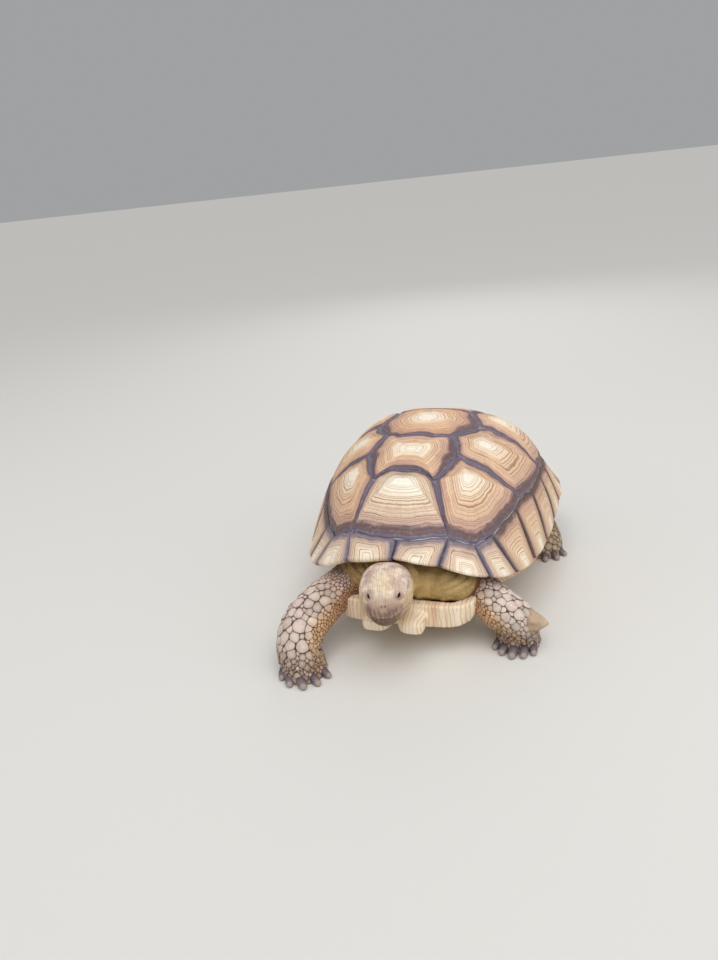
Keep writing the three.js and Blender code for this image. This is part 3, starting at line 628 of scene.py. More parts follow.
def thick_sheet(sheet, depth):
    """Points and faces of a closed plate: the sheet, a copy of it depth lower, and walls all round."""
    rows, columns = sheet.shape[:2]
    lower = sheet - sheet_normals(sheet) * np.asarray(depth)[..., None]
    points = np.concatenate((sheet.reshape(-1, 3), lower.reshape(-1, 3)))
    upper_faces = grid_quads(rows, columns, False)
    index = np.arange(rows * columns).reshape(rows, columns)
    border = np.concatenate((index[0, :-1], index[:-1, -1], index[-1, :0:-1], index[:0:-1, 0]))
    after, far = np.roll(border, -1), rows * columns
    walls = np.stack((after, border, border + far, after + far), axis=1)
    faces = np.concatenate((upper_faces, upper_faces[:, ::-1] + far, walls))
    return points, outward(points, [faces])


# %% One marginal
RIM_RADIUS = 3.4 * MM          # the rim's edge is this round
RIM_BULGE = 2.6 * MM
LIP_REACH = 0.9                # the underside ends at this radius of the disc
MARGINAL_DOME = 1.6 * MM
GIRDLE_GAP = 0.004             # the marginals start this share of the radius outside the girdle
TOP_ROWS, EDGE_ROWS, UNDER_ROWS, MARGINAL_COLUMNS = 38, 9, 12, 31


def rim_frame(theta):
    """On the rim: the place, the way out and the way up."""
    one = np.ones_like(theta)
    place = carapace(one, theta)
    return place, unit(place - carapace(one * 0.98, theta)), carapace_normal(one, theta)


def rim_turns(i):
    """Angles of the columns of marginal i, evenly spaced along the rim and a gap short of its seams."""
    dense = np.radians(blend(RIM_SEAMS[i], RIM_SEAMS[i + 1], np.sin(np.linspace(0, math.pi / 2, 3000)) ** 2))
    steps = np.linalg.norm(np.diff(carapace(np.ones_like(dense), dense), axis=0), axis=1)
    along = np.concatenate(([0], np.cumsum(steps)))
    return np.interp(np.linspace(SEAM_GAP, along[-1] - SEAM_GAP, MARGINAL_COLUMNS), along, dense)


def marginal_sheet(i, side, seed):
    """The sheet of one marginal, and its ring count, age, distance to the seam and place across."""
    a = np.linspace(-1, 1, MARGINAL_COLUMNS)
    share = (a + 1) / 2
    on_rim = side * rim_turns(i)
    on_girdle = side * blend(GIRDLE_SEAMS[i], GIRDLE_SEAMS[i + 1], share)
    inner_edge = wobble(polar(girdle(on_girdle), on_girdle)) * (1 + GIRDLE_GAP)
    outer_edge = polar(1.0, np.degrees(on_rim))
    b = np.linspace(0, 1, TOP_ROWS)[:, None]
    disc = inner_edge + b[..., None] * (outer_edge - inner_edge)
    flat = on_disc(disc)
    place, out, up = rim_frame(on_rim)
    height = np.linalg.norm(place - flat[0], axis=-1)
    width = np.linalg.norm(flat[:, -1] - flat[:, 0], axis=-1)[:, None]
    to_side = (1 - np.abs(a)) * width / 2
    to_top = b * height
    near = np.minimum(to_side, to_top)
    band = np.minimum(to_side, to_top * 0.5)
    shoulder = (1 - smoothstep(0, 1, near / (0.7 * SEAM_SHOULDER))) ** 1.5
    reach = float(np.median(height))
    age_top = (np.abs(a) ** 8 + (1 - b) ** 8) ** (1 / 8)
    count_top = ring_count(age_top, reach * 1.1, seed)
    ring_lift = RING_RIDGE * ridge(count_top) * smoothstep(0.5 * MM, 3 * MM, near)
    lift = (MARGINAL_DOME * (1 - a ** 2) * np.sin(np.pi * b * 0.6) - SCUTE_SINK * (1 - b)
            - SEAM_DEPTH * shoulder + ring_lift)
    top = on_disc(disc, lift)
    rim_lift, side_fall = lift[-1], SEAM_DEPTH * shoulder[-1]
    turn = np.linspace(0, math.pi, EDGE_ROWS)[1:, None, None]
    edge = (place + up * (rim_lift - RIM_RADIUS)[:, None]
            + out * (RIM_BULGE - side_fall)[:, None] * np.sin(turn) + up * RIM_RADIUS * np.cos(turn))
    inward = np.linspace(1, LIP_REACH, UNDER_ROWS)[1:, None] * np.ones_like(on_rim)
    under = (carapace(inward, on_rim * np.ones_like(inward))
             + carapace_normal(inward, on_rim * np.ones_like(inward)) * (rim_lift - 2 * RIM_RADIUS)[:, None])
    sheet = np.concatenate((top, edge, under))
    rest = len(sheet) - TOP_ROWS

    def carried(values, row):
        """Values on the top's rows, and one row of values for every row past them."""
        return np.concatenate((values, np.repeat(row[None], rest, axis=0)))

    age, count = carried(age_top, np.abs(a)), carried(count_top, ring_count(np.abs(a), reach * 1.1, seed))
    seam, band = carried(near, to_side[-1]), carried(band, to_side[-1])
    warmth = smoothstep(48, 64, half_turn(on_rim)) * np.ones((len(sheet), 1))
    down = np.concatenate((b * np.ones_like(a), 1 + np.linspace(0.1, 1, rest)[:, None] * np.ones_like(a)))
    return sheet, {"rings": count, "age": age, "seam": seam, "around": a * 0.25 + 0.3 * down, "band": band,
                   "warmth": warmth}


def marginal_group(name, members, side):
    """One mesh of several neighbouring marginals."""
    parts, start = [], 0
    for i in members:
        sheet, values = marginal_sheet(i, side, 100 + i * 2 + (side > 0))
        points, faces = thick_sheet(sheet, np.full(sheet.shape[:2], 2.2 * MM))
        values = {key: np.tile(np.broadcast_to(v, sheet.shape[:2]).ravel(), 2) for key, v in values.items()}
        parts.append((points, faces[0] + start, values))
        start += len(points)
    attributes = {key: np.concatenate([part[2][key] for part in parts]) for key in parts[0][2]}
    return make_mesh(name, joined(parts, 0), [joined(parts, 1)], attributes)


# %% [markdown]
# ## The bone under the scutes
# Under the horn lies a shell of bone. It shows only as a fine pale line at the bottom of the seams and,
# from below, as the roof over the legs. It is a closed bowl: the carapace function twice, once just under
# the scutes and once at the inner face.

# %% Bone
BONE_TOP, BONE_UNDER = -3.25 * MM, -7.0 * MM
BONE_RINGS, BONE_ROUND, BONE_EDGE = 70, 240, 0.985


def bone_mesh():
    """A bowl: rings of the carapace from the summit out at one lift, and back in at another."""
    theta = np.linspace(0, TAU, BONE_ROUND, endpoint=False)[None]
    rho = np.linspace(0.01, BONE_EDGE, BONE_RINGS)[:, None]
    rows = np.concatenate((
        carapace(rho + 0 * theta, theta + 0 * rho, BONE_TOP + 0 * (rho + theta)),
        carapace(rho[::-1] + 0 * theta, theta + 0 * rho, BONE_UNDER + 0 * (rho + theta)),
    ))
    points, faces = tube(rows)
    return make_mesh("shell_bone", points, outward(points, faces))


# %% [markdown]
# ## Horn
# The horn is pale cream on the areola, tan and then pinkish further out, and its last years are dark
# brown to slate. A thin brown line lies in every growth groove, stronger on some rings. Streaks cross the
# rings, because the horn's edge wears unevenly. The growth pattern is a node group, because the belly
# plates use it too.

# %% Growth rings as a node group
def new_group(name, inputs, outputs):
    """A shader node group with named sockets; returns it with its input and output nodes."""
    group = bpy.data.node_groups.new(name, "ShaderNodeTree")
    kinds = {"number": "NodeSocketFloat", "colour": "NodeSocketColor"}
    for socket, kind in inputs:
        group.interface.new_socket(socket, in_out="INPUT", socket_type=kinds[kind])
    for socket, kind in outputs:
        group.interface.new_socket(socket, in_out="OUTPUT", socket_type=kinds[kind])
    return group, group.nodes.new("NodeGroupInput"), group.nodes.new("NodeGroupOutput")


def use_group(tree, group, inputs):
    """Places a node group in a material, with its values."""
    return add_node(tree, "Group", inputs, node_tree=group).outputs


growth, growth_in, growth_out = new_group("growth_rings", [("Rings", "number"), ("Contrast", "number")],
                                          [("Line", "number"), ("Height", "number"), ("Shade", "number")])
ring_part = calc(growth, "FRACT", growth_in.outputs["Rings"])
ring_index = calc(growth, "FLOOR", growth_in.outputs["Rings"])
ring_chance = add_node(growth, "TexWhiteNoise", {"W": ring_index}, noise_dimensions="1D").outputs["Value"]
groove = opposite(growth, remap(growth, ring_part, 0.0, 0.26))
far_groove = remap(growth, ring_part, 0.78, 1.0)
fine_wave = calc(growth, "SINE", times(growth, growth_in.outputs["Rings"], TAU * 3.0))
line = times(growth, calc(growth, "MAXIMUM", groove, far_groove),
             remap(growth, ring_chance, 0.0, 0.9, 0.3, 1.0))
line = plus(growth, line, times(growth, fine_wave, 0.07))
clear_line = calc(growth, "MULTIPLY", line, growth_in.outputs["Contrast"], clamp=True)
growth.links.new(clear_line, growth_out.inputs["Line"])
growth.links.new(opposite(growth, line), growth_out.inputs["Height"])
growth.links.new(ring_chance, growth_out.inputs["Shade"])


# %% Horn materials
def horn(name, stops, groove_colour, band_colours, band, streaks, warm_horn, warm_seams, contrast=0.95):
    """Horn by its age: a ramp from areola to edge, brown lines in the grooves and a tone for each ring.
    The outer band is slate next to the seam and brown inside that, with a worn border. Contrast sets how
    strongly the grooves show."""
    tree, shader, material = new_material(name)
    age, seam, warmth = attribute(tree, "age"), attribute(tree, "seam"), attribute(tree, "warmth")
    cloud, fine, jitter = noise(tree, 22.0, 5.0), noise(tree, 160.0, 3.0), noise(tree, 75.0, 3.0)
    count = plus(tree, attribute(tree, "rings"), swing(tree, jitter, 0.5))
    rings = use_group(tree, growth, {"Rings": count, "Contrast": contrast})
    across = add_node(tree, "CombineXYZ", {0: times(tree, attribute(tree, "around"), 75.0),
                                           1: times(tree, age, 3.0)}).outputs[0]
    streak = noise(tree, 1.0, 5.0, 0.65, vector=across)
    warm = ramp(tree, plus(tree, age, swing(tree, cloud, 0.5)), stops)
    warm_share = times(tree, warmth, remap(tree, age, 0.1, 0.5, 0.15 * warm_horn, warm_horn))
    warm = mix(tree, warm_share, warm, colour("f2cba4"), "MULTIPLY")
    ring_tone = times(tree, rings["Shade"], remap(tree, age, 0.15, 0.6, 0.0, 0.34))
    warm = mix(tree, ring_tone, warm, colour(band_colours[3]))
    line_share = times(tree, rings["Line"], remap(tree, age, 0.06, 0.3, 0.3, 1.0))
    shade = mix(tree, line_share, warm, colour(groove_colour))
    streak_share = times(tree, remap(tree, streak, 0.42, 0.72),
                         remap(tree, age, 0.2, 0.9, 0.3 * streaks, streaks))
    shade = mix(tree, streak_share, shade, colour("a9807a"))
    wander = plus(tree, swing(tree, streak, 0.0035),
                  swing(tree, cloud, 0.0055))
    to_seam = plus(tree, seam, times(tree, wander, 0.5))
    to_band = plus(tree, attribute(tree, "band"), wander)
    dusk = opposite(tree, remap(tree, to_band, band[1], 2.1 * band[1]))
    shade = mix(tree, times(tree, dusk, 0.34), shade, colour("a27f7c"))
    dark = opposite(tree, remap(tree, to_band, band[0], band[1]))
    slate = remap(tree, to_seam, band[2], band[3])
    band_shade = mix(tree, slate, colour(band_colours[0]), colour(band_colours[1]))
    band_shade = mix(tree, times(tree, warmth, warm_seams), band_shade, colour("55392f"))
    band_shade = mix(tree, times(tree, rings["Line"], 0.6), band_shade, colour(band_colours[2]))
    band_shade = mix(tree, remap(tree, streak, 0.5, 0.75, 0.0, 0.35), band_shade, colour("8f8488"))
    shade = mix(tree, times(tree, dark, 0.93), shade, band_shade)
    dusty = times(tree, remap(tree, fine, 0.5, 0.75), 0.16)
    shade = mix(tree, dusty, shade, colour("d9cdbb"))
    tree.links.new(shade, shader.inputs["Base Color"])
    tree.links.new(remap(tree, cloud, 0.3, 0.7, 0.42, 0.6), shader.inputs["Roughness"])
    relief = plus(tree, rings["Height"], times(tree, fine, 0.6))
    tree.links.new(bump(tree, relief, 0.0005, 0.7), shader.inputs["Normal"])
    return material


disc_horn = horn("scute_horn",
                 [(0.0, "fdf5e4"), (0.2, "fcefda"), (0.45, "f6e0c0"), (0.75, "ecd0b4"), (1.0, "d6b3a0")],
                 "8a6048", ("6b6880", "674e53", "3a3036", "d6ad97"), (0.0065, 0.0105, 0.003, 0.006),
                 0.4, 0.8, 0.0)
rim_horn = horn("marginal_horn",
                [(0.0, "fbf1dc"), (0.4, "f8e7cc"), (0.75, "eed5bb"), (1.0, "ddc2b0")],
                "9c7450", ("646178", "84747f", "43363a", "d9b898"), (0.0026, 0.0072, 0.001, 0.005),
                0.35, 0.45, 0.9)
bone_tree, bone_shader, bone_paint = new_material("seam_bone")
dirt = noise(bone_tree, 55.0, 5.0)
bone_tree.links.new(ramp(bone_tree, dirt, [(0.36, "554c50"), (0.5, "9a9290"), (0.62, "c9c4bc")]),
                    bone_shader.inputs["Base Color"])
bone_shader.inputs["Roughness"].default_value = 0.7
bone_tree.links.new(bump(bone_tree, dirt, 0.0006), bone_shader.inputs["Normal"])

# %% Put the shell together
VERTEBRAL_WARMTH = (0.0, 0.6, 0.9, 0.8, 0.7)    # from the front
PLEURAL_WARMTH = {"left": 0.5, "right": 0.65}
for i in range(5):
    name = f"vertebral_{i + 1}"
    mesh = scute_mesh(name, vertebral_outline(i), AREOLAE["vertebral"][i], 11 + i, i > 0, VERTEBRAL_WARMTH[i])
    add_piece(f"scute_{name}", mesh, disc_horn, "plate", name)
for i in range(4):
    for side, word in ((1, "left"), (-1, "right")):
        name = f"pleural_{word}_{i + 1}"
        corners = [(side * u, v) for u, v in pleural_outline(i)]
        u, v = AREOLAE["pleural"][i]
        mesh = scute_mesh(name, corners, (side * u, v), 31 + 2 * i + (side > 0), False, PLEURAL_WARMTH[word])
        add_piece(f"scute_{name}", mesh, disc_horn, "plate", name)
MARGINALS = {"front": (0, 1, 2), "bridge": (3, 4, 5, 6), "rear": (7, 8, 9, 10)}
for word, members in MARGINALS.items():
    for side, hand in ((1, "left"), (-1, "right")):
        name = f"marginals_{word}_{hand}"
        add_piece(f"scute_{name}", marginal_group(name, members, side), rim_horn, "rim", name)
add_piece("scute_supracaudal", marginal_group("supracaudal", (11,), 1), rim_horn, "rim", "supracaudal")
add_piece("shell_bone", bone_mesh(), bone_paint, "plate")
print("scutes made: 13 of the disc and 23 round the rim")

# %% [markdown]
# ## Bodies made even
# Flesh and the belly plates are drawn as several overlapping closed bodies. A voxel remesh takes their
# common outside as one even net of small quads, and a few rounds of smoothing soften the joins, the way
# skin runs over what is under it.

# %% Even surfaces
def evaluated(mesh, modifiers):
    """A mesh after modifiers, given as (kind, settings)."""
    holder = new_object("holder", mesh)
    for kind, settings in modifiers:
        made = holder.modifiers.new(kind, kind)
        for key, value in settings.items():
            setattr(made, key, value)
    graph = bpy.context.evaluated_depsgraph_get()
    result = bpy.data.meshes.new_from_object(holder.evaluated_get(graph))
    bpy.data.objects.remove(holder)
    return result


def even_mesh(name, bodies, voxel, rounds):
    """One closed mesh round several closed bodies, each given as points and faces."""
    start, points, faces = 0, [], []
    for body_points, body_faces in bodies:
        points.append(body_points)
        faces += [group + start for group in outward(body_points, body_faces)]
        start += len(body_points)
    mesh = make_mesh(name, np.concatenate(points), faces)
    return evaluated(mesh, [("REMESH", {"mode": "VOXEL", "voxel_size": voxel, "use_smooth_shade": True}),
                            ("SMOOTH", {"factor": 0.5, "iterations": rounds})])


def points_of(mesh):
    """The places of a mesh's vertices."""
    values = np.empty(len(mesh.vertices) * 3, np.float32)
    mesh.vertices.foreach_get("co", values)
    return values.reshape(-1, 3).astype(float)


def normals_of(mesh):
    """The directions that a mesh's vertices face."""
    values = np.empty(len(mesh.vertices) * 3, np.float32)
    mesh.vertex_normals.foreach_get("vector", values)
    return values.reshape(-1, 3).astype(float)


def move_points(mesh, points):
    """Gives a mesh's vertices new places."""
    mesh.vertices.foreach_set("co", np.asarray(points, np.float32).ravel())
    mesh.update()


def keep_values(mesh, name, values):
    """Keeps a number or a colour for each vertex on the mesh."""
    values = np.asarray(values, np.float32)
    kind, field = ("FLOAT", "value") if values.ndim == 1 else ("FLOAT_COLOR", "color")
    mesh.attributes.new(name, kind, "POINT").data.foreach_set(field, values.ravel())


def ripple(points, wavelength, seed):
    """Slow noise between about -1 and 1: five sine waves that run in random directions."""
    rng = np.random.default_rng(seed)
    total = 0
    for _ in range(5):
        wave = unit(rng.normal(size=3)) * TAU / (wavelength * rng.uniform(0.7, 1.5))
        total = total + np.sin(points @ wave + rng.uniform(0, TAU))
    return total / 2.4


def catmull(points, t, even):
    """A Catmull-Rom curve through points, at t from 0 to 1: an even one, or one spaced by distance."""
    points = np.asarray(points, float)
    last = len(points) - 1
    at = np.clip(t, 0, 1) * last
    i = np.minimum(at.astype(int), last - 1)
    w = (at - i)[..., None]
    before, after = points[0], points[-1]
    if not even:
        before, after = 2 * points[0] - points[1], 2 * points[-1] - points[-2]
    padded = np.concatenate((before[None], points, after[None]))
    p0, p1, p2, p3 = (padded[i + k] for k in range(4))
    if even:
        m1, m2 = (p2 - p0) / 2, (p3 - p1) / 2
    else:
        d0, d1, d2 = (np.sqrt(np.linalg.norm(b - a, axis=-1, keepdims=True))
                      for a, b in ((p0, p1), (p1, p2), (p2, p3)))
        m1 = ((p1 - p0) / d0 - (p2 - p0) / (d0 + d1) + (p2 - p1) / d1) * d1
        m2 = ((p2 - p1) / d1 - (p3 - p1) / (d1 + d2) + (p3 - p2) / d2) * d1
    return (p1 + m1 * w + (3 * (p2 - p1) - 2 * m1 - m2) * w ** 2 + (2 * (p1 - p2) + m1 + m2) * w ** 3)


# %% [markdown]
# ## Plastron
# The belly plate is a tray: a flat floor whose edges turn up, high along the bridge, where it joins the
# shell above. Six pairs of scutes cover it. The front ones end in a thick lip, and the gular pair runs out
# into two blunt prongs. Growth lines run along each scute, parallel to the middle of the belly.

# %% Plastron
BELLY_Z, BELLY_THICKNESS, LIP_HEIGHT = 50 * MM, 14 * MM, 36 * MM
BELLY_FRONT, BELLY_REAR = -252 * MM, 222 * MM
LOBE = MM * np.array([[-252, 62], [-249, 84], [-242, 99], [-228, 110], [-190, 117], [-140, 124], [-60, 140],
                      [60, 136], [110, 122], [160, 110], [190, 98], [208, 78], [222, 52]])
BELLY_SEAMS = {"humeral": -142 * MM, "pectoral": -92 * MM, "abdominal": 66 * MM}
GULAR_HALF, GULAR_TIP = 52 * MM, -178 * MM
ANAL_SEAM, ANAL_SLOPE, NOTCH_DEPTH, NOTCH_HALF = 140 * MM, math.tan(math.radians(20)), 34 * MM, 44 * MM
BELLY_VOXEL = 1.8 * MM
SETTLE_ROUNDS, SETTLE_SHARE = 45, 0.15
BELLY_SPACING = 5.0 * MM       # between growth lines
GULAR_MIDDLE, PLATE_MIDDLE = 0.030, 0.088    # growth lines are counted from this far off the midline


def belly_place(y, q):
    """The tray's section at y: q is 0 under the middle, 0.6 at the edge and 1 on the inner floor's
    middle, and its sign is the side."""
    bridge = smoothstep(-0.152, -0.088, y) * (1 - smoothstep(0.062, 0.122, y))
    turn = np.arccos(signed_power(np.clip(-y / (SHELL_LENGTH / 2), -1, 1), RIM_SQUARENESS / 2))
    rim = carapace(np.ones_like(turn), turn, np.full_like(turn, -4 * MM)) - SHELL_SHIFT
    lobe = np.interp(y, LOBE[:, 0], LOBE[:, 1])
    lip = LIP_HEIGHT - 0.018 * smoothstep(-0.21, 0.1, y)
    edge_x = blend(lobe, rim[..., 0] - 0.001, bridge)
    edge_z = blend(BELLY_Z + lip, rim[..., 2] - 0.002, bridge)
    flat_x = blend(lobe - 0.009, 0.112, bridge)
    wall = blend(0.022, 0.011, bridge)
    inner_z = BELLY_Z + blend(lip, BELLY_THICKNESS, smoothstep(-0.24, -0.208, y))
    inner_x = np.maximum(flat_x - wall, 0.005)
    a = np.abs(q)
    outer_turn = np.clip((a - 0.3) / 0.3, 0, 1) * math.pi / 2
    inner_turn = np.clip((a - 0.65) / 0.2, 0, 1) * math.pi / 2
    over = np.clip((a - 0.6) / 0.05, 0, 1)
    x_low = flat_x * np.clip(a / 0.3, 0, 1) + (edge_x - flat_x) * np.sin(outer_turn)
    z_low = BELLY_Z + (edge_z - BELLY_Z) * (1 - np.cos(outer_turn))
    x_in = (inner_x + (edge_x - wall - inner_x) * np.cos(inner_turn)
            - inner_x * np.clip((a - 0.85) / 0.15, 0, 1))
    z_in = inner_z + (edge_z - inner_z) * (1 - np.sin(inner_turn))
    x = np.where(a < 0.6, x_low, np.where(a < 0.65, edge_x - wall * over, x_in))
    z = np.where(a < 0.65, np.where(a < 0.6, z_low, edge_z), z_in)
    return np.stack((np.sign(q) * x, y, z), axis=-1)


def gular_seam(x):
    """The V of the gular seam, from its tip behind to the front edge."""
    return np.maximum(GULAR_TIP - np.abs(x) / GULAR_HALF * (GULAR_TIP - BELLY_FRONT), BELLY_FRONT)


def anal_seam(x):
    """The seam before the last pair, which runs back towards the sides."""
    return ANAL_SEAM + np.abs(x) * ANAL_SLOPE


def belly_end(x):
    """The rear edge, with its notch."""
    return BELLY_REAR - NOTCH_DEPTH * np.clip(1 - np.abs(x) / NOTCH_HALF, 0, 1)


def gular_body(rows=60, around=240):
    """The front of the tray, no wider at each place than the V of the gular seam."""
    q = (np.arange(around) + 0.5) / around * 2 - 1
    y = np.linspace(BELLY_FRONT, GULAR_TIP - 0.004, rows)[:, None] + 0 * q
    rows_of_points = belly_place(y, q + 0 * y)
    widest = GULAR_HALF * (GULAR_TIP - y) / (GULAR_TIP - BELLY_FRONT) - SEAM_GAP
    rows_of_points[..., 0] = np.clip(rows_of_points[..., 0], -widest, widest)
    return tube(rows_of_points + SHELL_SHIFT)


def belly_body(front, rear, rows=60, around=240):
    """The part of the tray between two seams, each a function that gives y for x. Width and seam depend on
    each other, so y is found by many small steps."""
    q = (np.arange(around) + 0.5) / around * 2 - 1
    share = np.linspace(0, 1, rows)[:, None]
    y = blend(front(0 * q), rear(0 * q), share)
    for _ in range(SETTLE_ROUNDS):
        x = belly_place(y, q + 0 * y)[..., 0]
        y = blend(y, blend(front(x) + SEAM_GAP, rear(x) - SEAM_GAP, share), SETTLE_SHARE)
    return tube(belly_place(y, q + 0 * y) + SHELL_SHIFT)


PRONG = [((25, -214, 64), (22, 13)), ((25, -262, 65), (21, 13)), ((28, -280, 66), (18, 11)),
         ((30, -288, 67), (12, 7))]     # places and half-sizes, in millimetres


def prong_body(side):
    """A blunt squarish prong of the gular pair."""
    at = catmull(MM * np.array([p for p, _ in PRONG]), np.linspace(0, 1, 24), False)
    half = catmull(MM * np.array([h for _, h in PRONG]), np.linspace(0, 1, 24), True)
    turn = np.linspace(0, TAU, 40, endpoint=False)
    x = side * at[:, :1] + half[:, :1] * signed_power(np.cos(turn), 0.55)
    z = at[:, 2:] + half[:, 1:] * signed_power(np.sin(turn), 0.55)
    return tube(np.stack((x, at[:, 1:2] + 0 * x, z), axis=-1) + SHELL_SHIFT)


def at_y(y):
    """A seam straight across the belly."""
    return lambda x: np.full_like(x, y)


BELLY_PLATES = {
    "gular": None, "humeral": (gular_seam, at_y(BELLY_SEAMS["humeral"])),
    "pectoral": (at_y(BELLY_SEAMS["humeral"]), at_y(BELLY_SEAMS["pectoral"])),
    "abdominal": (at_y(BELLY_SEAMS["pectoral"]), at_y(BELLY_SEAMS["abdominal"])),
    "femoral": (at_y(BELLY_SEAMS["abdominal"]), anal_seam), "anal": (anal_seam, belly_end),
}


def belly_mesh(name):
    """A pair of belly scutes with its growth lines."""
    if name == "gular":
        bodies = [gular_body(), prong_body(1), prong_body(-1)]
    else:
        bodies = [belly_body(*BELLY_PLATES[name])]
    mesh = even_mesh(f"plastron_{name}", bodies, BELLY_VOXEL, 2)
    points = points_of(mesh)
    place = points - SHELL_SHIFT
    seed = len(name) * 7
    far = np.abs(np.abs(place[:, 0]) - (GULAR_MIDDLE if name == "gular" else PLATE_MIDDLE))
    count = (far / BELLY_SPACING + 0.7 * ripple(place * (1, 0.3, 0.4), 0.05, seed)
             + 0.15 * ripple(place * (1, 0.5, 0.5), 0.012, seed + 1))
    middle = np.clip(1 - np.abs(place[:, 0]) / (1.6 * MM), 0, 1)
    lift = 0.35 * MM * (ridge(count) - 0.5) - 0.9 * MM * middle
    move_points(mesh, points + normals_of(mesh) * lift[:, None])
    keep_values(mesh, "rings", count)
    keep_values(mesh, "age", 0.3 + 0.7 * np.clip(far / 0.09, 0, 1))
    keep_values(mesh, "seam", np.abs(place[:, 0]))
    keep_values(mesh, "around", place[:, 0] * 2.4 + 0.02 * ripple(place, 0.06, seed + 2))
    keep_values(mesh, "band", np.full(len(place), 0.05))
    return mesh


belly_horn = horn("belly_horn",
                  [(0.0, "fdf3de"), (0.4, "fceace"), (0.75, "f5dab9"), (1.0, "e2b890")],
                  "bb8450", ("7d6a5c", "b98f5f", "7c5433", "dfb078"), (0.0004, 0.0012, 0.0001, 0.0004),
                  0.3, 0.0, 0.0, contrast=0.55)
for name in BELLY_PLATES:
    add_piece(f"scute_plastron_{name}", belly_mesh(name), belly_horn, "plastron", f"plastron_{name}")

# %% [markdown]
# ## Flesh
# The soft parts are one skin: a body inside the shell, loose folds beside the neck, the neck and head,
# four legs and a tail. A limb is a tube of ovals along a smooth path through a few stations, each with its
# half-width and half-depth. The skin lies a little under the limb's full size, so that scales fit on top.
# The claws leave a foot over the angle spread about heading, and point over the angle fan about aim.

# %% Limbs
SKIN_DEPTH = 2.0 * MM          # the skin lies this far inside the limb
LEGS = {
    "front_right": {"at": [(-58, -150, 104), (-93, -214, 89), (-118, -259, 76), (-136, -294, 57),
                           (-138, -315, 32), (-131, -322, 10), (-130, -323, -14)],
                    "half": [(34, 36), (32, 32), (34, 33), (35, 33), (34, 34), (34, 35), (35, 36)],
                    "foot": (-130, -321), "claws": 5, "heading": -78, "spread": 132, "aim": -52, "fan": 52},
    "front_left": {"at": [(66, -140, 100), (110, -184, 80), (146, -203, 58), (167, -201, 38), (167, -195, 18),
                          (168, -191, -14)],
                   "half": [(36, 34), (31, 30), (32, 31), (31, 31), (32, 32), (35, 35)],
                   "foot": (168, -192), "claws": 5, "heading": -94, "spread": 100, "aim": -96, "fan": 30},
    "rear_left": {"at": [(84, 136, 112), (126, 122, 86), (158, 102, 52), (174, 95, 18), (175, 94, -14)],
                  "half": [(50, 52), (42, 46), (34, 38), (33, 36), (35, 38)],
                  "foot": (174, 95), "claws": 4, "heading": -66, "spread": 80, "aim": -66, "fan": 80},
    "rear_right": {"at": [(-84, 140, 112), (-124, 162, 86), (-150, 186, 50), (-162, 198, 16),
                          (-163, 199, -14)],
                   "half": [(50, 52), (42, 46), (34, 38), (33, 36), (35, 38)],
                   "foot": (-162, 198), "claws": 4, "heading": -112, "spread": 80, "aim": -112, "fan": 80},
}
TAIL = {"at": [(2, 190, 92), (6, 218, 78), (12, 240, 58), (16, 250, 40), (17, 253, 34)],
        "half": [(24, 22), (19, 17), (12, 11), (5, 5), (2, 2)]}
NECK = {"at": [(0, -140, 114), (0, -196, 118), (-3, -226, 122), (4, -250, 127)],
        "half": [(50, 44), (42, 38), (36, 31), (34, 29)]}
FOLDS = [((64, -200, 105), (50, 42, 28)), ((-64, -192, 105), (46, 38, 28)), ((36, -204, 108), (38, 38, 30))]
FLOOR_GAP = 0.5 * MM
FRONT_HINT, UP_HINT = (0.0, -1.0, 0.0), (0.0, 0.0, 1.0)     # what a limb's depth is measured towards


def path_of(limb, t):
    """The middle of a limb at t along its path."""
    return catmull(MM * np.array(limb["at"], float), t, False)


def path_step(limb, t, step):
    """The way along the path, from a little before t to a little after."""
    return path_of(limb, np.clip(t + step, 0, 1)) - path_of(limb, np.clip(t - step, 0, 1))


def limb_place(limb, t, phi, lift=0.0, hint=FRONT_HINT):
    """A place on a limb at t along its path and phi round it, lifted off it."""
    middle, along = path_of(limb, t), unit(path_step(limb, t, 0.004))
    deep = unit(np.array(hint) - along * (along @ np.array(hint))[..., None])
    across = np.cross(along, deep)
    half_size = catmull(MM * np.array(limb["half"], float), t, True) + np.asarray(lift)[..., None]
    place = (middle + across * (half_size[..., :1] * np.cos(phi)[..., None])
             + deep * (half_size[..., 1:] * np.sin(phi)[..., None]))
    return place + SHELL_SHIFT


def limb_body(limb, lift, hint=FRONT_HINT, rows=70, around=56):
    """A limb as a closed tube that ends on the floor."""
    t = np.linspace(0, 1, rows)[:, None] + np.zeros(around)
    phi = np.linspace(0, TAU, around, endpoint=False) + 0 * t
    points = limb_place(limb, t, phi, np.full_like(t, lift), hint)
    points[..., 2] = np.maximum(points[..., 2], FLOOR_GAP)
    return tube(points)


def ball(middle, half_size, rows=24, around=48):
    """A slightly squared ellipsoid."""
    polar_turn = np.linspace(0.02, math.pi - 0.02, rows)[:, None]
    turn = np.linspace(0, TAU, around, endpoint=False)
    directions = np.stack((np.sin(polar_turn) * np.cos(turn), np.sin(polar_turn) * np.sin(turn),
                           np.cos(polar_turn) + 0 * turn), axis=-1)
    directions = signed_power(directions, 0.85)
    return tube(MM * (np.array(middle) + directions * half_size) + SHELL_SHIFT)


BODY_CLEARANCE = 11.5 * MM
BODY_BELLY = [(0.985, 112), (0.95, 84), (0.84, 58)]


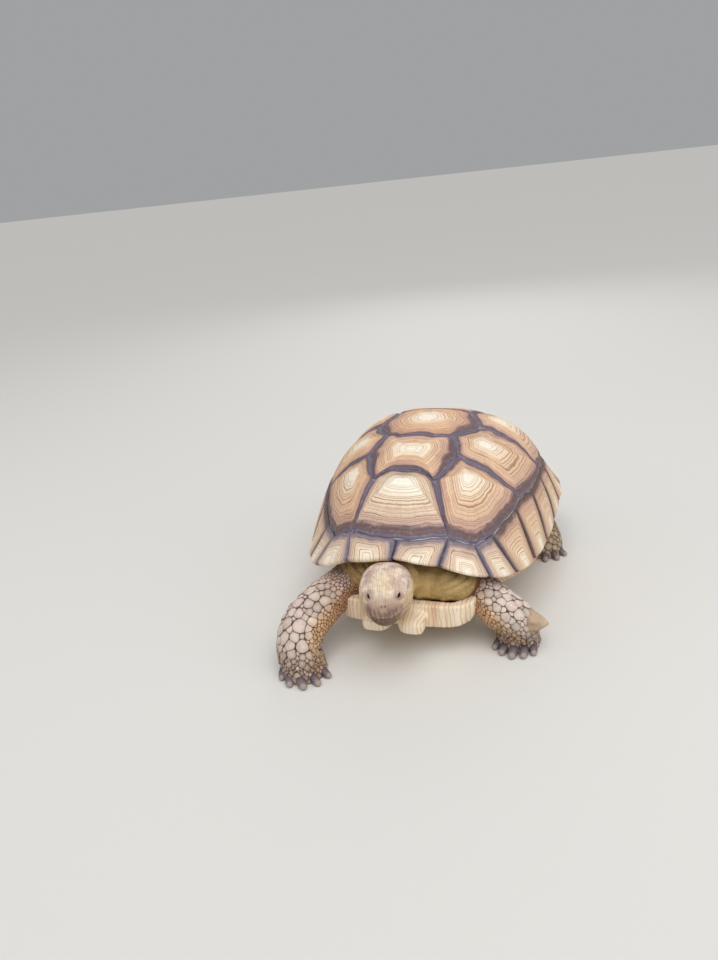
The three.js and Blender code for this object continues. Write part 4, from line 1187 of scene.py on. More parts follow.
def inner_body():
    """The body inside the shell: its roof follows the carapace, and its belly ends inside the plastron."""
    theta = np.linspace(0, TAU, 120, endpoint=False)[None]
    rho = np.linspace(0.02, 0.84, 24)[:, None]
    roof = carapace(rho + 0 * theta, theta + 0 * rho, np.full((24, 120), -BODY_CLEARANCE))
    edge = roof[-1] - SHELL_SHIFT
    belly = [np.stack((edge[:, 0] * reach, edge[:, 1] * reach, np.full(120, z * MM + 0.001)),
                      axis=-1) + SHELL_SHIFT for reach, z in BODY_BELLY]
    return tube(np.concatenate((roof, np.stack(belly))))


# %% [markdown]
# ## Head
# The head has a frame of its own: s runs forward from its middle, l to its left and u up. Stations from the
# nape to the beak give its half-width, the height of its crown and the depth of its jaw. The lids, the
# mouth, the nostrils and the ear shields come in a later step, which moves the skin's points.

# %% Head
HEAD_AT = MM * np.array((0, -292, 127)) + SHELL_SHIFT
HEAD_YAW, HEAD_PITCH, HEAD_ROLL = math.radians(13.5), math.radians(-4), math.radians(0.5)
HEAD_SQUARENESS = 0.88
HEAD_STATIONS = MM * np.array([  # s, half-width, crown, jaw
    [-46, 34.5, 30, 27], [-30, 38, 35, 29], [-12, 39, 38, 30.5], [2, 38.5, 36.8, 31.5],
    [14, 36.5, 32.2, 31.5], [24, 32.5, 25.8, 30.5], [33, 27.5, 19.5, 29], [41, 22, 14, 27],
    [48, 16, 9, 23.5], [53, 10, 1.5, 19.5]])
turn_yaw = Matrix.Rotation(HEAD_YAW, 3, "Z")
head_turn = np.array(turn_yaw @ Matrix.Rotation(HEAD_PITCH, 3, "X") @ Matrix.Rotation(HEAD_ROLL, 3, "Y"))
HEAD_AXES = head_turn @ np.array([[0, 1, 0], [-1, 0, 0], [0, 0, 1.0]])   # columns: forward, left, up
EYE_MIDDLE, EYE_RADIUS = MM * np.array((26.5, 16.2, 11.2)), 7.5 * MM


def from_head(local):
    """Places given in the head's frame, in the common frame."""
    return HEAD_AT + local @ HEAD_AXES.T


def to_head(points):
    """Places of the common frame, in the head's."""
    return (points - HEAD_AT) @ HEAD_AXES


def head_body(inset, rows=90, around=80):
    """The head's plain form: superellipses through the stations."""
    stations = catmull(HEAD_STATIONS, np.linspace(0, 1, rows), True)
    turn = np.linspace(0, TAU, around, endpoint=False)
    s, wide, crown, jaw = (stations[:, k:k + 1] for k in range(4))
    high = np.where(np.sin(turn) > 0, crown, jaw) - inset
    local = np.stack((s + 0 * turn, (wide - inset) * signed_power(np.cos(turn), HEAD_SQUARENESS),
                      high * signed_power(np.sin(turn), HEAD_SQUARENESS)), axis=-1)
    return tube(from_head(local))


# %% The even skin
SKIN_VOXEL = 2.4 * MM
skin_bodies = [inner_body(), head_body(0.3 * MM), limb_body(NECK, -1 * MM, UP_HINT),
               limb_body(TAIL, -SKIN_DEPTH / 2, UP_HINT)]
skin_bodies += [limb_body(leg, -SKIN_DEPTH) for leg in LEGS.values()]
skin_bodies += [ball(middle, half_size) for middle, half_size in FOLDS]
skin_mesh = even_mesh("skin", skin_bodies, SKIN_VOXEL, 5)
print("skin:", len(skin_mesh.polygons), "quads before it is thinned and refined")


def edges_of(mesh):
    """The pairs of vertices that edges join."""
    values = np.empty(len(mesh.edges) * 2, np.int32)
    mesh.edges.foreach_get("vertices", values)
    return values.reshape(-1, 2)


def thin_out(mesh, hidden, ratio):
    """Fewer faces where hidden (0 to 1 for each vertex) is high."""
    holder = new_object("holder", mesh)
    group = holder.vertex_groups.new(name="hidden")
    group.add(np.flatnonzero(hidden > 0.5).tolist(), 1.0, "REPLACE")
    made = holder.modifiers.new("thin", "DECIMATE")
    made.ratio, made.vertex_group, made.vertex_group_factor = ratio, "hidden", 10.0
    result = bpy.data.meshes.new_from_object(holder.evaluated_get(bpy.context.evaluated_depsgraph_get()))
    bpy.data.objects.remove(holder)
    return result


def refine(mesh, wanted):
    """Cuts in four every face whose middle is wanted."""
    middles = np.empty(len(mesh.polygons) * 3, np.float32)
    mesh.polygons.foreach_get("center", middles)
    chosen = wanted(middles.reshape(-1, 3).astype(float))
    net = bmesh.new()
    net.from_mesh(mesh)
    net.faces.ensure_lookup_table()
    edges = {edge for i in np.flatnonzero(chosen) for edge in net.faces[i].edges}
    bmesh.ops.subdivide_edges(net, edges=list(edges), cuts=1, use_grid_fill=True)
    net.to_mesh(mesh)
    net.free()


def relax(points, edges, weight, rounds):
    """Moves each point part of the way to the middle of its neighbours, again and again."""
    ends, others = np.concatenate((edges[:, 0], edges[:, 1])), np.concatenate((edges[:, 1], edges[:, 0]))
    count = np.maximum(np.bincount(ends, minlength=len(points)), 1)
    for _ in range(rounds):
        middle = np.stack([np.bincount(ends, points[others, k], len(points)) / count
                           for k in range(3)], axis=-1)
        points = points + 0.5 * weight[:, None] * (middle - points)
    return points


def near_head(points):
    """True in front of the nape."""
    local = to_head(points)
    return (local[:, 0] > -44 * MM) & (local[:, 0] < 70 * MM) & (np.abs(local[:, 1]) < 60 * MM) & (
        np.abs(local[:, 2]) < 50 * MM)


def near_face(points):
    """True round the eyes, the nostrils and the mouth."""
    local = to_head(points)
    return near_head(points) & (local[:, 0] > 10 * MM)


def hidden_inside(points):
    """1 where the shell hides the skin from every side."""
    place = points - SHELL_SHIFT
    under_roof = place[:, 2] > 0.172
    amidships = (place[:, 1] > -0.085) & (place[:, 1] < 0.055) & (np.abs(place[:, 0]) < 0.165)
    return np.where(under_roof | amidships, 1.0, 0.0)


skin_mesh = thin_out(skin_mesh, hidden_inside(points_of(skin_mesh)), 0.66)
print("skin:", len(skin_mesh.polygons), "faces after thinning")
refine(skin_mesh, near_head)
refine(skin_mesh, near_face)
print("skin:", len(skin_mesh.polygons), "faces after refining")


# %% [markdown]
# ## Sculpting the head
# The skin's points round the face are moved. Each eye has lids: the skin is laid on a ball a little larger
# than the eye, and inside an almond it goes down behind the eyeball, so that the eye looks out between
# them. The mouth is a groove under an overhanging beak, the nostrils are two small pits, and the ear
# shield is a flat oval behind the corner of the mouth. Low horny plates cover the crown and cheeks.

# %% Eyes, mouth and nostrils
LID_THICKNESS, LID_HALF, LID_LONG = 1.3 * MM, 2.3 * MM, 5.6 * MM
LID_REACH = (6.5 * MM, 10.5 * MM)       # the lids' ball blends into the head between these radii
SOCKET_DEPTH = 1.3 * MM
NOSTRIL = MM * np.array((47.5, 2.5, 7.0))
MOUTH_FRONT, MOUTH_RISE, MOUTH_CORNER = -9.0 * MM, 4.5 * MM, 18 * MM
EAR = MM * np.array((-7.0, 37.0, -5.0))


def eye_frame(side):
    """The eye's middle, the way it looks, and the long and short axes of its opening."""
    gaze = unit(np.array((0.62, 0.68 * side, 0.41)))
    long = np.array((0.72, -0.46 * side, -0.52))
    long = unit(long - gaze * (long @ gaze))
    return EYE_MIDDLE * (1, side, 1), gaze, long, np.cross(gaze, long)


def bell(distance, width):
    """1 at distance 0, falling off like a bell curve."""
    return np.exp(-(distance / width) ** 2)


def lids(local, side):
    """The points moved on to the lids' ball, or behind the eye inside the opening, and two masks."""
    middle, gaze, long, short = eye_frame(side)
    out = local - middle
    x, y, z = out @ long, out @ short, out @ gaze
    radius, disc = np.linalg.norm(out, axis=1), np.hypot(x, y)
    almond = np.abs(y) - LID_HALF * (1 - (x / LID_LONG) ** 2)
    is_open = 1 - smoothstep(-0.4 * MM, 0.3 * MM, almond)
    lid_radius = EYE_RADIUS + LID_THICKNESS + 0.35 * MM * bell(almond - 0.8 * MM, 0.7 * MM)
    target = blend(lid_radius, EYE_RADIUS - SOCKET_DEPTH, is_open)
    weight = (1 - smoothstep(*LID_REACH, disc)) * (z > 0)
    moved = local + unit(out) * ((target - radius) * weight)[:, None]
    crease = 0.6 * MM * bell(disc - 9.0 * MM, 0.9 * MM) * (z > 0)
    return moved - gaze * crease[:, None], weight * (1 - is_open), is_open * weight


def mouth_height(s):
    """The height of the mouth line at s, from the beak back to the corner."""
    rise = MOUTH_RISE * (1 - smoothstep(22 * MM, 44 * MM, s))
    return MOUTH_FRONT + rise - 1.2 * MM * smoothstep(48 * MM, 53 * MM, s)


def face_relief(local):
    """How far each point moves along its normal for the mouth, the nostrils, the ears and the brow."""
    s, l, u = local.T
    a = np.abs(l)
    below = u - mouth_height(s)
    mouth = smoothstep(MOUTH_CORNER - 3 * MM, MOUTH_CORNER + 2 * MM, s)
    lift = mouth * (-1.4 * MM * bell(below, 0.75 * MM) + 0.7 * MM * bell(below - 2.2 * MM, 1.8 * MM)
                    - 1.0 * MM * smoothstep(0, -2.5 * MM, below) * smoothstep(-14 * MM, -8 * MM, below))
    front = smoothstep(40 * MM, 44 * MM, s)
    pit = np.hypot(a - NOSTRIL[1], u - NOSTRIL[2])
    lift += front * (0.5 * MM * bell(pit, 2.6 * MM) - 2.4 * MM * bell(pit, 0.95 * MM))
    lift += front * 0.6 * MM * bell(np.hypot(l, u - 1.5 * MM), 3.5 * MM)
    ear = np.hypot(s - EAR[0], (u - EAR[2]) / 1.25)
    shield = 0.7 * MM * bell(ear - 7 * MM, 1.0 * MM) + 0.3 * MM * (1 - smoothstep(4 * MM, 7 * MM, ear))
    lift -= (a > 20 * MM) * shield
    brow = bell(np.hypot((s - 22 * MM) / 1.8, u - 21 * MM), 5 * MM)
    lift += 1.1 * MM * brow * smoothstep(10 * MM, 18 * MM, a)
    return lift


def spread_seeds(points, radius, seed, tries):
    """Picks points at least the sum of their two radii apart, largest first, then fills the gaps with
    smaller ones; gives their indices and radii."""
    rng = np.random.default_rng(seed)
    kept, sizes = np.empty((0, 3)), np.empty(0)
    index = []
    for shrink in (1.0, 0.8, 0.62, 0.46):
        for i in rng.choice(len(points), min(tries, len(points)), replace=False):
            size = radius[i] * shrink
            if np.all(((kept - points[i]) ** 2).sum(axis=1) > (0.93 * (sizes + size)) ** 2):
                kept, sizes = np.concatenate((kept, points[i:i + 1])), np.append(sizes, size)
                index.append(i)
    return np.array(index), sizes


def head_plates(local):
    """For each point, how far it lies inside its own head plate, and a number for that plate."""
    s, _, u = local.T
    crown = blend(3.0, 5.6, smoothstep(8 * MM, 24 * MM, u))
    size = MM * crown * blend(1.0, 0.62, smoothstep(30 * MM, 46 * MM, s))
    index, sizes = spread_seeds(local, size, 5, 5000)
    square = ((local[:, None, :] - local[index][None]) ** 2).sum(axis=-1)
    distance = np.sqrt(square) - 0.5 * sizes
    order = np.argpartition(distance, 1, axis=1)[:, :2]
    pair = np.take_along_axis(distance, order, axis=1)
    nearest = np.where(pair[:, 0] < pair[:, 1], order[:, 0], order[:, 1])
    return np.abs(pair[:, 1] - pair[:, 0]), np.random.default_rng(6).random(len(index))[nearest]


# %% Shape the skin
skin_points = points_of(skin_mesh)
skin_edges = edges_of(skin_mesh)
on_head = near_head(skin_points)
skin_points = relax(skin_points, skin_edges, on_head.astype(float), 6)
move_points(skin_mesh, skin_points)
skin_normals = normals_of(skin_mesh)
local = to_head(skin_points)
lid_mask, eye_mask = np.zeros(len(local)), np.zeros(len(local))
plate_inside, plate_number = np.full(len(local), 0.01), np.full(len(local), 0.5)
head_index = np.flatnonzero(on_head)
plate_inside[head_index], plate_number[head_index] = head_plates(local[head_index])
nape_fade = smoothstep(-42 * MM, -32 * MM, local[:, 0]) * on_head
relief = (face_relief(local) + 0.28 * MM * (smoothstep(0, 1.3 * MM, plate_inside) - 1)) * nape_fade
local = local + (skin_normals @ HEAD_AXES) * relief[:, None]
for side in (1, -1):
    moved, lid, opening = lids(local, side)
    chosen = on_head & (np.linalg.norm(local - eye_frame(side)[0], axis=1) < 16 * MM)
    local[chosen] = moved[chosen]
    lid_mask[chosen] += lid[chosen]
    eye_mask[chosen] += opening[chosen]
skin_points = np.where(on_head[:, None], from_head(local), skin_points)

# %% [markdown]
# ## Folds and colours of the skin
# Round the neck the skin is loose. Creases run down from the shell towards the throat, and small wrinkles
# crowd along the lower edge of the folds. The colours are mixed by place: olive yellow on the neck, red
# brown on the upper arms, dark towards the feet, and on the head a pale crown over a dusky snout.

# %% Where each point lies
def nearest_leg(points):
    """The leg whose path lies nearest, the place along it, and the distance."""
    best, where, which = np.full(len(points), 1.0), np.zeros(len(points)), np.zeros(len(points), int)
    for k, leg in enumerate(LEGS.values()):
        t = np.linspace(0, 1, 45)
        path = path_of(leg, t) + SHELL_SHIFT
        distance = np.sqrt(((points[:, None, :] - path[None]) ** 2).sum(axis=-1))
        order = distance.argmin(axis=1)
        closest = np.take_along_axis(distance, order[:, None], axis=1)[:, 0]
        nearer = closest < best
        best = np.where(nearer, closest, best)
        where = np.where(nearer, t[order], where)
        which = np.where(nearer, k, which)
    return which, where, best


def paint(base, text, weight):
    """A colour laid over the base by weight."""
    return blend(base, np.array(colour(text)), np.clip(weight, 0, 1)[:, None])


def plain(text, count):
    """One colour for a number of points."""
    return paint(np.zeros((count, 4)), text, np.ones(count))


def overlaid(base, layers):
    """Colours laid over the base in turn, each given with its weight."""
    for text, weight in layers:
        base = paint(base, text, weight)
    return base


leg_number, leg_part, leg_distance = nearest_leg(skin_points)
place = skin_points - SHELL_SHIFT
on_leg = smoothstep(0.12, 0.24, leg_part) * (1 - smoothstep(0.036, 0.046, leg_distance)) * (1 - on_head)
in_front = leg_number < 2
bare = smoothstep(-0.12, -0.17, place[:, 1]) * (1 - on_leg) * (1 - on_head)
slant = place[:, 2] - np.abs(place[:, 0]) * 0.75 + 8 * MM * ripple(place, 0.07, 3)
crease = 1 - np.abs(np.sin(slant / (15 * MM) * math.pi))
fine = 1 - np.abs(np.sin((place[:, 2] + 2.5 * MM * ripple(place, 0.022, 4)) / (6.5 * MM) * math.pi))
low = 1 - smoothstep(0.098, 0.116, place[:, 2])
patchy = smoothstep(-0.5, 0.7, ripple(place, 0.05, 6))
fold = -2.0 * MM * crease ** 4 * (1 - low) * patchy - 1.6 * MM * fine ** 3 * low
fold = fold + 0.7 * MM * ripple(place, 0.02, 5) + 0.8 * MM * ripple(place, 0.009, 7) * low
skin_points = skin_points + skin_normals * (fold * bare + 0.5 * MM * ripple(place, 0.02, 8) * on_leg)[:, None]
skin_points[:, 2] = np.maximum(skin_points[:, 2], FLOOR_GAP)
move_points(skin_mesh, skin_points)

# %% Colours by place
s, l, u = local.T
a = np.abs(l)
tone = overlaid(plain("cdab6c", len(place)), [
    # Painted highlight: the raised skin between the creases is laid paler.
    ("dcc28a", 0.6 * bare * (1 - crease) ** 2 * (0.5 + 0.5 * ripple(place, 0.03, 11))),
    # Painted shade: the creases, and the small wrinkles along the folds' lower edge, are laid dark.
    ("6d5426", 0.7 * bare * np.clip(crease ** 4 * (1 - low) * patchy + fine ** 3 * low, 0, 1)),
    ("c4a566", 0.5 * bare * low),
    # Painted shade: the skin high up, just under the shell's rim, is laid brown.
    ("8a6334", 0.7 * smoothstep(0.13, 0.155, place[:, 2])),
    ("9a5a36", on_leg * in_front),
    ("74442f", 0.8 * on_leg * (leg_number == 1)),
    ("8a7355", on_leg * ~in_front),
    ("6f5140", on_leg * smoothstep(0.42, 0.6, leg_part)),
    ("45352b", on_leg * smoothstep(0.78, 0.92, leg_part))])
head_tone = overlaid(plain("f5e0ca", len(place)), [
    ("c4a79f", 0.6 * smoothstep(-0.3, 0.8, ripple(local, 0.022, 21))),
    ("b29aa0", 0.4 * smoothstep(0.1, 0.9, ripple(local, 0.012, 22)) * (u > 10 * MM)),
    # Painted highlight: a pale cream patch on top of the forehead.
    ("f3dfb6", 0.75 * bell(np.hypot(s - 20 * MM, l), 14 * MM) * (u > 0)),
    ("dcc08a", 0.8 * smoothstep(20 * MM, 32 * MM, a) * smoothstep(16 * MM, 6 * MM, u)),
    ("f2dfa6", 0.8 * smoothstep(33 * MM, 38 * MM, a) * smoothstep(10 * MM, -8 * MM, s)),
    ("b09380", 0.85 * smoothstep(28 * MM, 46 * MM, s + 0.1 * a))])
muzzle = smoothstep(34 * MM, 45 * MM, s + 0.15 * a) * smoothstep(11 * MM, 0, u)
head_tone = paint(head_tone, "6c4f47", 0.78 * muzzle)
muzzle_streaks = smoothstep(0.1, 0.8, ripple(local * (1, 3, 0.8), 0.014, 23))
head_tone = paint(head_tone, "c9a98c", 0.5 * muzzle * muzzle_streaks)
front_spot = bell(np.hypot(l + 1 * MM, u - 2 * MM), 3.4 * MM) * (s > 40 * MM)
head_tone = paint(head_tone, "c8ab97", 0.85 * front_spot)
head_tone = overlaid(head_tone, [
    # Darker under the jaw and the chin: partly the jaw's own brown, partly painted shade under the head.
    ("8d7350", 0.8 * smoothstep(-10 * MM, -16 * MM, u) * smoothstep(10 * MM, 30 * MM, s)),
    ("5a4438", 0.8 * smoothstep(-9 * MM, -14 * MM, u) * smoothstep(36 * MM, 46 * MM, s)),
    ("b39a5e", smoothstep(-18 * MM, -26 * MM, u) * smoothstep(34 * MM, 22 * MM, s)),
    ("977a62", 0.5 * lid_mask),
    # Painted shade: the skin inside each eye opening, in the socket behind the eyeball, is laid almost black.
    ("140d09", eye_mask)])
# Painted shade: a dark line in the mouth groove and dark spots in the nostril pits.
mouth_line = bell(u - mouth_height(s), 0.9 * MM) * smoothstep(MOUTH_CORNER - 2 * MM, MOUTH_CORNER + 2 * MM, s)
pits = bell(np.hypot(a - NOSTRIL[1], u - NOSTRIL[2]), 1.1 * MM) * (s > 42 * MM)
head_tone = paint(head_tone, "241a18", np.clip(mouth_line + pits, 0, 1) * 0.9)
head_tone = head_tone * (1 + 0.10 * (plate_number - 0.5))[:, None]
head_tone = paint(head_tone, "a8907a", 0.35 * (1 - smoothstep(0, 0.9 * MM, plate_inside)))
tone = blend(tone, head_tone, nape_fade[:, None])
tone[:, 3] = 1
keep_values(skin_mesh, "tone", tone)
keep_values(skin_mesh, "grain", np.clip(1 - nape_fade, 0.0, 1))
keep_values(skin_mesh, "place", np.concatenate((local / 0.1, np.ones((len(local), 1))), axis=1))
print("skin:", len(skin_points), "points, of which", on_head.sum(), "on the head")

# %% Skin material
tree, shader, skin_paint = new_material("skin")
grain = attribute(tree, "grain")
pebbles = add_node(tree, "TexVoronoi",
                   {"Vector": add_node(tree, "TexCoord").outputs["Object"], "Scale": 330.0},
                   feature="DISTANCE_TO_EDGE").outputs["Distance"]
cracks = opposite(tree, remap(tree, pebbles, 0.0, 0.16))
cloud, speckle = noise(tree, 45.0, 5.0), noise(tree, 380.0, 3.0)
stretched = add_node(tree, "VectorMath", {0: attribute(tree, "place", "Vector"), 1: (5.0, 95.0, 9.0)},
                     operation="MULTIPLY").outputs[0]
streaks = noise(tree, 1.0, 4.0, 0.6, vector=stretched)
shade = mix(tree, remap(tree, cloud, 0.35, 0.7, 0.0, 0.35), attribute(tree, "tone", "Color"),
            colour("8a6c50"), "MULTIPLY")
shade = mix(tree, times(tree, times(tree, cracks, grain), 0.26), shade, colour("4a3620"))
smooth_part = opposite(tree, grain)
streak_share = times(tree, times(tree, remap(tree, streaks, 0.48, 0.7), smooth_part), 0.6)
shade = mix(tree, streak_share, shade, colour("8c7268"))
shade = mix(tree, remap(tree, speckle, 0.55, 0.8, 0.0, 0.25), shade, colour("e6d8bc"))
tree.links.new(shade, shader.inputs["Base Color"])
tree.links.new(remap(tree, cloud, 0.3, 0.7, 0.55, 0.75), shader.inputs["Roughness"])
bumps = plus(tree, times(tree, remap(tree, pebbles, 0.0, 0.3), grain), times(tree, speckle, 0.4))
bumps = plus(tree, bumps, times(tree, streaks, 0.25))
tree.links.new(bump(tree, bumps, 0.0006, 0.8), shader.inputs["Normal"])
add_piece("skin", skin_mesh, skin_paint, "skin", "trunk", "neck", "head", "tail",
          *(f"leg_{name}" for name in LEGS))

# %% [markdown]
# ## Eyes
# A tortoise's eye is dark and wet, with a black pupil in a brown iris. It is a ball whose pole looks out of
# the head. The angle from that pole, kept on the mesh, gives the pupil and the iris.

# %% Eyes
def eye_mesh(name, side):
    """A ball with a slight bulge at the pole."""
    middle, gaze, long, short = eye_frame(side)
    angle = np.linspace(0.01, math.pi - 0.01, 40)[:, None]
    turn = np.linspace(0, TAU, 64, endpoint=False)
    radius = (EYE_RADIUS - 0.1 * MM) * (1 + 0.03 * bell(angle, 0.6))
    sideways = np.cos(turn)[:, None] * long + np.sin(turn)[:, None] * short
    ways = np.cos(angle)[..., None] * gaze + np.sin(angle)[..., None] * sideways
    points, faces = tube(from_head(middle + radius[..., None] * ways))
    values = np.concatenate((np.repeat(angle[:, 0], len(turn)), (0.0, math.pi)))
    turns = np.concatenate((np.tile(turn, len(angle)), (0.0, 0.0)))
    return make_mesh(name, points, outward(points, faces), {"polar": values, "spoke": turns})


tree, shader, eye_paint = new_material("eye")
fibres = noise(tree, 1.0, 4.0, vector=add_node(tree, "CombineXYZ", {
    0: times(tree, calc(tree, "SINE", attribute(tree, "spoke")), 9.0),
    1: times(tree, calc(tree, "COSINE", attribute(tree, "spoke")), 9.0)}).outputs[0])
iris = mix(tree, fibres, colour("0e0805"), colour("2c1b10"))
ball_shade = mix(tree, remap(tree, attribute(tree, "polar"), 0.26, 0.34), colour("030303"), iris)
ball_shade = mix(tree, remap(tree, attribute(tree, "polar"), 0.52, 0.64), ball_shade, colour("0d0906"))
tree.links.new(ball_shade, shader.inputs["Base Color"])
shader.inputs["Roughness"].default_value = 0.2
shader.inputs["Specular IOR Level"].default_value = 0.3
for side, word in ((1, "left"), (-1, "right")):
    add_piece(f"eye_ball_{word}", eye_mesh(f"eye_{word}", side), eye_paint, "eye", f"eye_{word}")

# %% [markdown]
# ## Claws
# The claws are thick, blunt nails, worn by digging. Each lies forward from the foot with its tip on the
# floor: ovals along a short line, narrower towards the tip and closed there by a rounded cap. Fine grooves
# run along it.

# %% Claws
FOOT_RADIUS = 34               # millimetres; a claw's root is set a little inside it
CLAW = {"length": 23, "width": 6.6, "height": 6.0, "set": 5, "taper": 0.28, "droop": 4}
CLAW_ROUND_FROM = 0.72


def claw_roots(leg):
    """Where a leg's claws leave the foot, in millimetres, at floor level."""
    parts = np.arange(leg["claws"]) / (leg["claws"] - 1) - 0.5
    turns = np.radians(leg["heading"] + leg["spread"] * parts)
    ways = np.stack((np.cos(turns), np.sin(turns), 0 * turns), axis=-1)
    return np.array((*leg["foot"], 0.0)) + FOOT_RADIUS * ways


def claw_mesh(name, leg, i):
    """A claw, from where its foot stands, the way it points and its size."""
    part = i / (leg["claws"] - 1) - 0.5
    turn = math.radians(leg["aim"] + leg["fan"] * part)
    size = (1 - 0.16 * abs(part) * 2) * MM
    out, side = np.array((math.cos(turn), math.sin(turn), 0)), np.array((-math.sin(turn), math.cos(turn), 0))
    t = np.concatenate((np.linspace(-0.1, CLAW_ROUND_FROM, 18), blend(CLAW_ROUND_FROM, 1, np.sin(
        np.linspace(0, math.pi / 2, 10)[1:]))))[:, None]
    on_cap = np.maximum((t - CLAW_ROUND_FROM) / (1.002 - CLAW_ROUND_FROM), 0)
    cap = np.sqrt(np.maximum(1 - on_cap ** 2.4, 0.0))
    body = (1 - CLAW["taper"] * t * t) * (1 + 0.12 * bell(t - 0.42, 0.28))
    phi = np.linspace(0, TAU, 36, endpoint=False)
    ridge_top = 1 + 0.06 * bell(phi - math.pi / 2, 0.5)
    flute = 1 + 0.012 * np.sin(9 * phi + 2 * np.sin(5 * t))
    wide = CLAW["width"] * size * body * cap * flute * signed_power(np.cos(phi), 0.9)
    high = CLAW["height"] * size * body * cap * ridge_top * flute * signed_power(np.sin(phi), 0.9)
    root = MM * claw_roots(leg)[i] + SHELL_SHIFT - out * CLAW["set"] * MM
    middle = root + out * (CLAW["length"] * size * t)
    drop = CLAW["droop"] * size * (1 - t) ** 2
    middle[:, 2] = (CLAW["height"] * size * (1 - CLAW["taper"] * t * t) + drop)[:, 0]
    points, faces = tube(middle[:, None, :] + side * wide[..., None] + np.array((0, 0, 1)) * high[..., None])
    points[:, 2] = np.maximum(points[:, 2], 0.2 * MM)
    along = np.concatenate((np.repeat(t[:, 0], len(phi)), t[0], t[-1]))
    return make_mesh(name, points, outward(points, faces),
                     {"along": along, "around": np.concatenate((np.tile(phi, len(t)), (0.0, 0.0)))})


tree, shader, claw_paint = new_material("claw")
along, turn_value = attribute(tree, "along"), attribute(tree, "around")
lines = noise(tree, 1.0, 4.0, 0.6, vector=add_node(tree, "CombineXYZ", {
    0: times(tree, calc(tree, "SINE", turn_value), 7.0),
    1: times(tree, calc(tree, "COSINE", turn_value), 7.0), 2: along}).outputs[0])
shade = ramp(tree, plus(tree, along, times(tree, lines, 0.3)),
             [(0.1, "32272a"), (0.45, "52464c"), (0.9, "7a6c70"), (1.0, "a3948c")])
shade = mix(tree, remap(tree, lines, 0.5, 0.75, 0.0, 0.6), shade, colour("3e3238"))
shade = mix(tree, remap(tree, noise(tree, 120.0, 4.0), 0.52, 0.72, 0.0, 0.45), shade, colour("a08a6c"))
tree.links.new(shade, shader.inputs["Base Color"])
shader.inputs["Roughness"].default_value = 0.5
tree.links.new(bump(tree, lines, 0.0005, 0.7), shader.inputs["Normal"])
for name, leg in LEGS.items():
    for i in range(leg["claws"]):
        nail = claw_mesh("claw", leg, i)
        add_piece(f"nail_{name}_{i + 1}", nail, claw_paint, "claw", f"claw_{name}_{i + 1}")

# %% [markdown]
# ## Scales
# The fronts of the forelegs are armoured with large, knobbly scales that overlap a little towards the
# foot. Between them and the bare upper arm they shrink to beads. Seeds are spread over a limb so that no
# two come closer than their sizes allow. A scale reaches from its seed, in each direction, about to the
# line halfway to its neighbours, weighted by their sizes; the halfway lines are joined by a smooth
# minimum, which rounds the corners. It is a low dome over that outline, tilted so that its lower edge
# stands up.

# %% Scales on a limb
SCALE_GAP = 0.15 * MM
CELL_POWER = 11
CELL_STRETCH = 1.05            # makes up for the rounded corners of the cells
SHINGLE = 0.2                  # a scale reaches this much further over its neighbour towards the foot
BAKE_PATCH = 0.003
STEEPEST = 90                  # a chart step is never longer than this for each metre


def chart_steps(limb, t, phi, hint):
    """Two directions square to each other on the limb, down it and round it, and for each place the small
    matrix that turns a step along them, in metres, into a step of t and phi."""
    step = 0.003

    def slope(by_t, by_phi):
        """How fast a place on the limb moves with t or with phi."""
        after = limb_place(limb, t + by_t, phi + by_phi, 0 * t, hint)
        return (after - limb_place(limb, t - by_t, phi - by_phi, 0 * t, hint)) / (2 * step)

    by_t, by_phi = slope(step, 0), slope(0, step)
    along = path_step(limb, t, step)
    normal = unit(np.cross(by_t, by_phi))
    down = unit(along - normal * (along * normal).sum(axis=-1, keepdims=True))
    round_it = np.cross(normal, down)
    speeds = np.stack([np.stack([(way * axis).sum(axis=-1) for way in (by_t, by_phi)], axis=-1)
                       for axis in (down, round_it)], axis=-2)
    return down, round_it, np.clip(np.linalg.inv(speeds), -STEEPEST, STEEPEST)


def cell_reach(points, down, round_it, radius, turns):
    """How far each seed's scale reaches in each direction."""
    apart = np.linalg.norm(points[:, None] - points[None], axis=-1).astype(np.float32)
    closeness = apart / (radius[:, None] + radius[None])
    near = np.argpartition(closeness, 14, axis=1)[:, :14]
    offset = points[near] - points[:, None]
    x, y = np.einsum("nkc,nc->nk", offset, down), np.einsum("nkc,nc->nk", offset, round_it)
    distance = np.maximum(np.hypot(x, y), 1e-6)
    limit = distance * radius[:, None] / (radius[:, None] + radius[near])
    pull = x[..., None] * np.cos(turns) + y[..., None] * np.sin(turns)
    pull = pull / distance[..., None] / limit[..., None]
    pull = np.where((near == np.arange(len(points))[:, None])[..., None], 0, np.maximum(pull, 0))
    cap = 1 / (1.9 * radius)
    return 1 / ((pull ** CELL_POWER).sum(axis=1) + cap[:, None] ** CELL_POWER) ** (1 / CELL_POWER)


